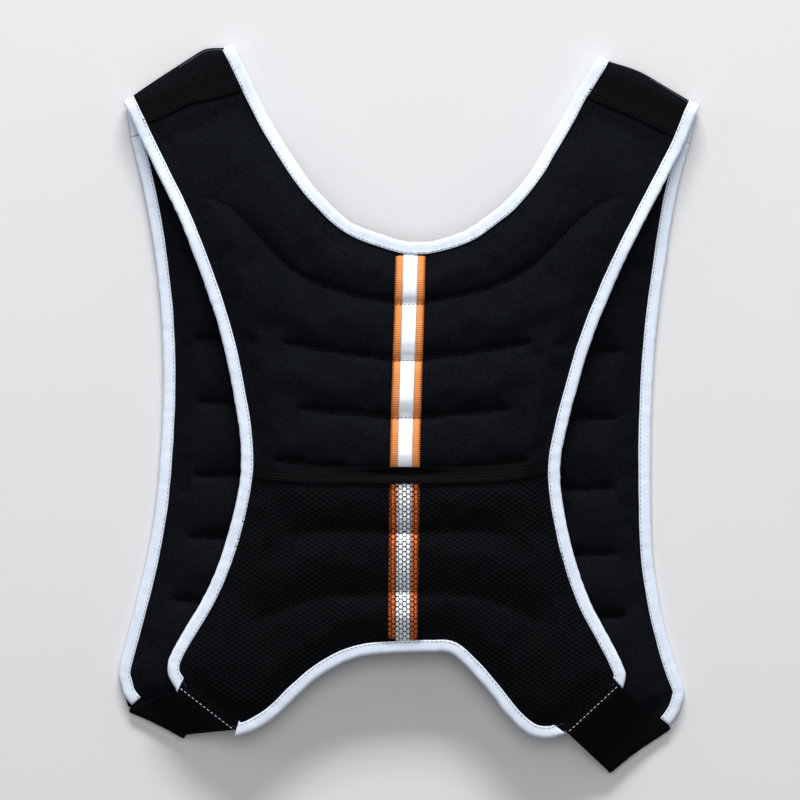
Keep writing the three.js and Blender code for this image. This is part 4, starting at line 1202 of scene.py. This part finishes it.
print("elastics")
crestRow = 5  # row of a shoulder fold a little past its top, where it turns down
foldThreads = bmesh.new()
for side in sides:
    track = narrowed(folds[side], shoulder["edge"])

    def bulge(s, distance, track=track, side=side):
        across = track.rows[crestRow][1] - track.rows[crestRow][0]
        out = Vector((-across.y, across.x, 0)).normalized()
        out *= math.copysign(band["bulge"][side], out.y)
        return out * (1 - s) ** 0.7 * ease(-0.01, band["peak"][side], s) * ease(0.010, 0.030, distance)

    bm, width, length = sheetOn(track, shoulder["thick"], shoulder["columns"], 60, bulge)
    piece = finishPiece("shoulder_fold_" + side, bm, "neoprene", ["shoulder_elastic_" + side])

    bandTrack = narrowed(folds[side], band["inset"])

    def layBand(s, t, track=bandTrack, side=side, bulge=bulge):
        share, face = wrapped(t, 0.04)
        bow = band["bow"][side] * math.exp(-(((s - 0.52) / 0.2) ** 2)) * (1 - share)
        wider = band["widen"][side] * math.exp(-(((s - 0.62) / 0.33) ** 2))
        distance = share * (band["width"] + wider) + bow
        ridge = band["ridge"] * math.sin(distance * fullTurn / band["ridgeEvery"]) * max(face, 0)
        point, normal = track.at(s, distance, distance)
        over = mix(band["overPanel"], band["overSheet"], ease(0.004, 0.010, distance))
        point = point + bulge(mix(0.08, 1.0, s), distance) * band["follow"][side]
        return point + normal * (over + ridge + face * band["thick"] / 2)

    bm = laidGrid(60, 56, layBand, (width, band["width"] * 2), closed=True, capped=True)
    piece = finishPiece("shoulder_elastic_band_" + side, bm, "knitElastic")
    inner, outer, normal = track.rows[crestRow]
    span = (outer - inner).length
    points = []
    for i in range(31):
        p = inner.lerp(outer, mix(*band["edgeLine"][side], i / 30))
        out = bulge((p - inner).length / span, 0.04)
        points.append(p + out + normal * (shoulder["thick"] / 2 + 0.0001))
    threadRow(foldThreads, points, [normal] * len(points), *threadSizes["fold"])
finishPiece("shoulder_fold_thread", foldThreads, "greyThread")


sideElastic = {
    "thick": 0.0016,
    "radius": 0.0026,
    "overlap": 0.0015,  # over the back panel
    "outerBend": (0.0022, 0.0013),  # the outer end of the fold lies flatter, under the front's binding
}


def sideElasticRows(side):
    thick, radius = sideElastic["thick"], sideElastic["radius"]
    tip, corner = [place(side, *shares) for shares in elasticSeam[side]]
    outerOut, outerUp, innerOut, innerUp = sideFoldEnds[side]
    inner, outer = place(side, innerOut, innerUp), place(side, outerOut, outerUp)
    outward = squareTo((outer - inner).normalized(), -1)
    reach = radius + thick / 2
    inner, outer = inner - outward * reach, outer - outward * reach
    backOut = squareTo((corner - tip).normalized(), -1)
    fromInner, fromOuter = tip - backOut * sideElastic["overlap"], corner - backOut * sideElastic["overlap"]
    low = vest["frontEdge"]
    up = Vector((0, 0, 1))
    lift = vest["edgeHalf"] + thick / 2
    startInner = lifted(fromInner, backHeight(fromInner) + lift)
    startOuter = lifted(fromOuter, backHeight(fromOuter) + lift)
    flatLow, flat = sideElastic["outerBend"]
    endInner, endOuter = lifted(inner, low + 2 * radius), lifted(outer, flatLow + 2 * flat)
    rows = []
    for i in range(9):
        t = i / 8
        left = 1 - clamp01((t - 0.1) / 0.9)  # it leaves the back level
        hung = lifted(startInner.lerp(endInner, t), mix(endInner.z, startInner.z, left ** 1.15))
        sunk = lifted(startOuter.lerp(endOuter, t), mix(endOuter.z, startOuter.z, left ** 2.2))
        rows.append((hung, sunk, up))
    rows += turnRows(inner, outer, outward, 8, (low, radius), (flatLow, flat))
    lowInner, lowOuter = frontInnerCurve(side, 0), frontOuterCurve(side, frontOuterRows[side][0])
    ends = [lowInner.lerp(lowOuter, t) - outward * 0.002 for t in (0.03, 0.97)]
    rows.append((lifted(ends[0], low), lifted(ends[1], flatLow), -up))
    return rows


cornerStitches = bmesh.new()
for side in sides:
    track = Track(sideElasticRows(side))
    edge = sideElastic["overlap"]
    line = [track.at(mix(0.02, 0.98, i / 60), edge, edge) for i in range(61)]
    points, normals = [p + n * 0.0009 for p, n in line], [normal for _, normal in line]
    threadRow(cornerStitches, points, normals, *threadSizes["corner"])
    bm, width, length = sheetOn(track, sideElastic["thick"], 36, 40)
    piece = finishPiece("side_elastic_woven_" + side, bm, "wovenElastic", ["side_elastic_" + side])
finishPiece("corner_stitches", cornerStitches, "whiteThread")


# Ribbon, laid on the filled back
ribbon = {
    "width": 0.020,
    "stripe": 0.0104,
    "tape": 0.0009,
    "stripeThick": 0.0004,
    "top": 0.6985,
    "bottom": 0.1385,
    "tuck": 0.0020,  # its ends go down under the bindings
    "drift": 0.0021,  # the upper end stands a little to the right
    "lift": 0.0004,
}


def ribbonShift(up):
    return ribbon["drift"] * ease(0.38, 0.72, up)


# Highest point of the back across the ribbon's width
def highestUnder(x, y):
    return max(backTop.at(x + k * 0.0026, y) for k in range(-4, 5))


def ribbonPiece(name, width, lift, thick, slot, node):
    columns, rows = 8, 200
    length = (ribbon["top"] - ribbon["bottom"]) * vest["length"]

    def lay(s, t):
        _, share = around(s)
        up = mix(ribbon["bottom"], ribbon["top"], t)
        centre = place("right", 0, up) + Vector((ribbonShift(up), 0))
        x = centre.x + (share - 0.5) * width
        z = highestUnder(centre.x, centre.y)
        z -= ribbon["tuck"] * (ease(0.6885, 0.6950, up) + 1 - ease(0.1420, 0.1490, up))
        return Vector((x, centre.y, z + lift + raisedBy(s, thick)))

    bm = laidGrid(columns * 2, rows, lay, (width * 2, length), closed=True, capped=True)
    piece = finishPiece(name, bm, slot, [node])


print("ribbon")
tapeTop = ribbon["lift"] + ribbon["tape"]
stripeTop = ribbon["lift"] + ribbon["tape"] + ribbon["stripeThick"]
ribbonPiece("ribbon_tape_woven", ribbon["width"], ribbon["lift"], ribbon["tape"], "ribbon", "ribbon_tape")
ribbonPiece(
    "ribbon_reflector_stripe", ribbon["stripe"], tapeTop, ribbon["stripeThick"], "reflector", "ribbon_reflector"
)


# Thread where each cross seam is stitched over the ribbon, and along the seams themselves
upward = Vector((0, 0, 1))
seamThreads = bmesh.new()
for heights, end in backQuilt["seams"]:
    for side in sides:
        width = lookUp(armTable, "up", side, heights[-1])
        shares = [(end - 0.01) * i / 120 for i in range(121)]
        row = [place(side, share * width, heightAt(heights, share)) for share in shares]
        points = [lifted(p, backTop.at(p.x, p.y)) for p in row]
        threadRow(seamThreads, points, [upward] * len(points), *threadSizes["seam"])
    middle = [place("right", k * 0.0011 / vest["halfWidth"], heightAt(heights, 0)) for k in range(-9, 10)]
    middle = [p + Vector((ribbonShift(heights[0]), 0)) for p in middle]
    top = max(backTop.at(p.x, p.y) for p in middle) + stripeTop
    points = [lifted(p, top + 0.0004) for p in middle]
    threadRow(seamThreads, points, [upward] * len(points), *threadSizes["overRibbon"])
finishPiece("seam_threads", seamThreads, "darkThread")


# Net pocket: real hexagonal cells, and the elastic at its mouth
pocket = {
    # middle of the elastic, at the centre line and at its end
    "mouth": {"left": (0.3785, 0.3855), "right": (0.3785, 0.3945)},
    "elasticWidth": 0.0112,
    "elasticThick": 0.0016,
    "cell": (0.00255, 0.00333),  # spacing of the columns, and of the holes along a column
    "strand": 0.00062,
    "lift": 0.0006,
    "under": 0.0066,  # how far inside the outline the net ends, under the binding
}


def mouthAt(side, share):
    centre, end = pocket["mouth"][side]
    return centre + (end - centre) * share ** 4


def mouthPoint(side, share):
    up = mouthAt(side, share)
    width = lookUp(armTable, "up", side, up) - pocket["under"] / vest["halfWidth"]
    return place(side, share * width, up)


def pocketOutline():
    points = []
    for side, order in (("right", 1), ("left", -1)):
        half = sampled(hemCurve, side, 0, vest["lobeTip"], 50)
        half += sampled(armCurve, side, armTable["up"][0], mouthAt(side, 1), 90)
        half += sampled(mouthPoint, side, 1, 0, 40)
        points += half if order == 1 else half[::-1]
    return points


# Height of cloth drawn over the back and its ribbon
def overRibbon(x, y, lift, overTape, amount=1.0, reach=0.0155):
    surface = backTop.at(x, y, taut=True) + lift
    up = (y + originY) / vest["length"]
    middle = place("right", 0, up).x + ribbonShift(up)
    if abs(x - middle) > reach:
        return surface
    over = highestUnder(middle, y) + stripeTop + overTape
    return mix(surface, max(surface, over), (1 - ease(0.0105, reach, abs(x - middle))) * amount)


def netPiece():
    outline = pocketOutline()
    rimPoints = []
    for side in sides:
        rimPoints += sampled(hemCurve, side, 0, vest["lobeTip"], 200)
        rimPoints += sampled(armCurve, side, armTable["up"][0], 0.41, 240)
        tip, corner = [place(side, *shares) for shares in elasticSeam[side]]
        beyond = squareTo(corner - tip, -1).normalized() * 0.0058
        rimPoints += [tip.lerp(corner, mix(0.12, 0.88, i / 60)) + beyond for i in range(61)]
    rimTree = treeOf(rimPoints)
    column, pitch = pocket["cell"]
    low = Vector((min(p.x for p in outline), min(p.y for p in outline)))
    high = Vector((max(p.x for p in outline), max(p.y for p in outline)))
    across, along = int((high.x - low.x) / column) + 2, int((high.y - low.y) / pitch) + 2
    centres = []
    for i in range(across):
        for j in range(along):
            drift = noise.noise(Vector((i * 0.05, j * 0.05, 1.7))) * 0.0009
            centres.append((low.x + i * column + drift, low.y + (j + 0.5 * (i % 2)) * pitch))
    keep = insideOutline(np.array(centres), outline)
    bm = bmesh.new()
    for (x, y), inside in zip(centres, keep):
        if not inside:
            continue
        _, _, edge = rimTree.find((x, y, 0))
        if edge < pocket["under"] + 0.0006:
            continue
        # six corners at shared places between neighbouring cells
        shape = Matrix.Translation((x, y, 0)) @ Matrix.Diagonal((column * 0.6667, pitch * 0.57735, 1, 1))
        shape @= Matrix.Rotation(math.pi / 2, 4, "Z")
        bmesh.ops.create_circle(bm, cap_ends=True, segments=6, radius=1, matrix=shape)
    bmesh.ops.remove_doubles(bm, verts=bm.verts, dist=0.0006)
    for v in bm.verts:
        _, _, edge = rimTree.find((v.co.x, v.co.y, 0))
        tucked = 0.0007 * (1 - ease(0.0075, 0.0105, edge))
        amount = ease(0.0085, 0.0125, edge)
        v.co.z = overRibbon(v.co.x, v.co.y, pocket["lift"], 0.0003, amount) - tucked
    bmesh.ops.recalc_face_normals(bm, faces=bm.faces)
    bmesh.ops.wireframe(
        bm, faces=bm.faces[:], thickness=pocket["strand"], use_replace=True, use_boundary=True,
        use_even_offset=True, use_relative_offset=False,
    )
    bmesh.ops.recalc_face_normals(bm, faces=bm.faces)
    area = sum(f.calc_area() for f in bm.faces)
    print("  net triangles, area:", sum(len(f.verts) - 2 for f in bm.faces), round(area, 4))
    piece = finishPiece("pocket_net_mesh", bm, "net", ["pocket_net"])
    area / 2


def pocketElasticPiece():
    thick, width = pocket["elasticThick"], pocket["elasticWidth"]
    length = (mouthPoint("right", 1) - mouthPoint("left", 1)).length

    def lay(s, t):
        turn, share = around(s)
        side = "right" if t >= 0.5 else "left"
        reach = abs(t - 0.5) * 2
        point = mouthPoint(side, reach)
        narrow = mix(1.0, 0.82, reach ** 6)
        y = point.y + (share - 0.5) * width * narrow
        ridge = 0.0002 * math.cos(share * 5 * 2 * math.pi) if turn < 1 else 0.0
        tucked = 0.0034 * ease(0.950, 0.992, reach)
        z = overRibbon(point.x, y, 0.0012, 0.0008, reach=0.034) + raisedBy(s, thick) + ridge - tucked
        return Vector((point.x, y, z))

    bm = laidGrid(48, 200, lay, (width * 2, length), closed=True, capped=True)
    piece = finishPiece("pocket_elastic_woven", bm, "wovenElastic", ["pocket_elastic"])


print("pocket")
netPiece()
pocketElasticPiece()


# Front closure
print("front closure")
webbingWidth = 0.020
for level in ("upper", "lower"):
    for side in sides:
        node = "front_strap_" + level + "_" + side
        low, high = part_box(node)

        def lay(s, t, low=low, high=high):
            _, share = around(s)
            z = low.z + raisedBy(s, high.z - low.z)
            return Vector((mix(low.x, high.x, t), mix(low.y, high.y, share), z))

        bm = laidGrid(24, 12, lay, (webbingWidth * 2, high.x - low.x), closed=True, capped=True)
        piece = finishPiece(node + "_webbing", bm, "webbing", [node])
    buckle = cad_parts["buckle_" + level]
    buckle.data.materials.clear()
    buckle.data.materials.append(finishes["plastic"])


# Floor, light and camera
stage = {
    "pixelsPerMetre": 1500.0,
    "distance": 6.0,
    "imagePixels": 800,
    "centre": (-0.006, 0.006),
    "sensor": 36.0,
    "sky": (0.9, 0.95, 1.0, 1),
    "skyStrength": 0.11,
}


def addFloor():
    bm = bmesh.new()
    bmesh.ops.create_grid(bm, x_segments=1, y_segments=1, size=4)
    mesh = bpy.data.meshes.new("floor")
    bm.to_mesh(mesh)
    bm.free()
    f = Finish("pale_floor", 0.8)
    f.shader.inputs["Base Color"].default_value = (0.62, 0.62, 0.63, 1)
    mesh.materials.append(f.material)
    made = bpy.data.objects.new("floor", mesh)
    bpy.context.scene.collection.objects.link(made)


def addLight(name, at, size, power, color=(1, 1, 1)):
    data = bpy.data.lights.new(name, "AREA")
    data.shape = "RECTANGLE"
    data.size, data.size_y = size
    data.energy = power
    data.color = color
    made = bpy.data.objects.new(name, data)
    made.location = at
    made.rotation_euler = (-Vector(at)).to_track_quat("-Z", "Y").to_euler()
    bpy.context.scene.collection.objects.link(made)


print("stage")
addFloor()
addLight("key", (0.15, 3.55, 1.80), (2.2, 0.8), 215)
addLight("fill_left", (-1.6, 0.6, 0.8), (0.8, 0.8), 5, (0.92, 0.96, 1.0))
addLight("fill_right", (1.7, 0.4, 0.8), (0.8, 0.8), 4)
addLight("overhead", (0.0, 0.2, 2.4), (1.6, 1.6), 28)
world = bpy.data.worlds.new("studio")
world.use_nodes = True
background = world.node_tree.nodes["Background"]
background.inputs[0].default_value = stage["sky"]
background.inputs[1].default_value = stage["skyStrength"]
scene = bpy.context.scene
scene.world = world
scene.view_settings.view_transform = "Standard"
camera = bpy.data.objects.new("camera", bpy.data.cameras.new("camera"))
camera.data.sensor_width = stage["sensor"]
camera.data.lens = stage["sensor"] * stage["distance"] * stage["pixelsPerMetre"] / stage["imagePixels"]
camera.location = (*stage["centre"], stage["distance"] + vest["backCentre"])
scene.collection.objects.link(camera)
scene.camera = camera
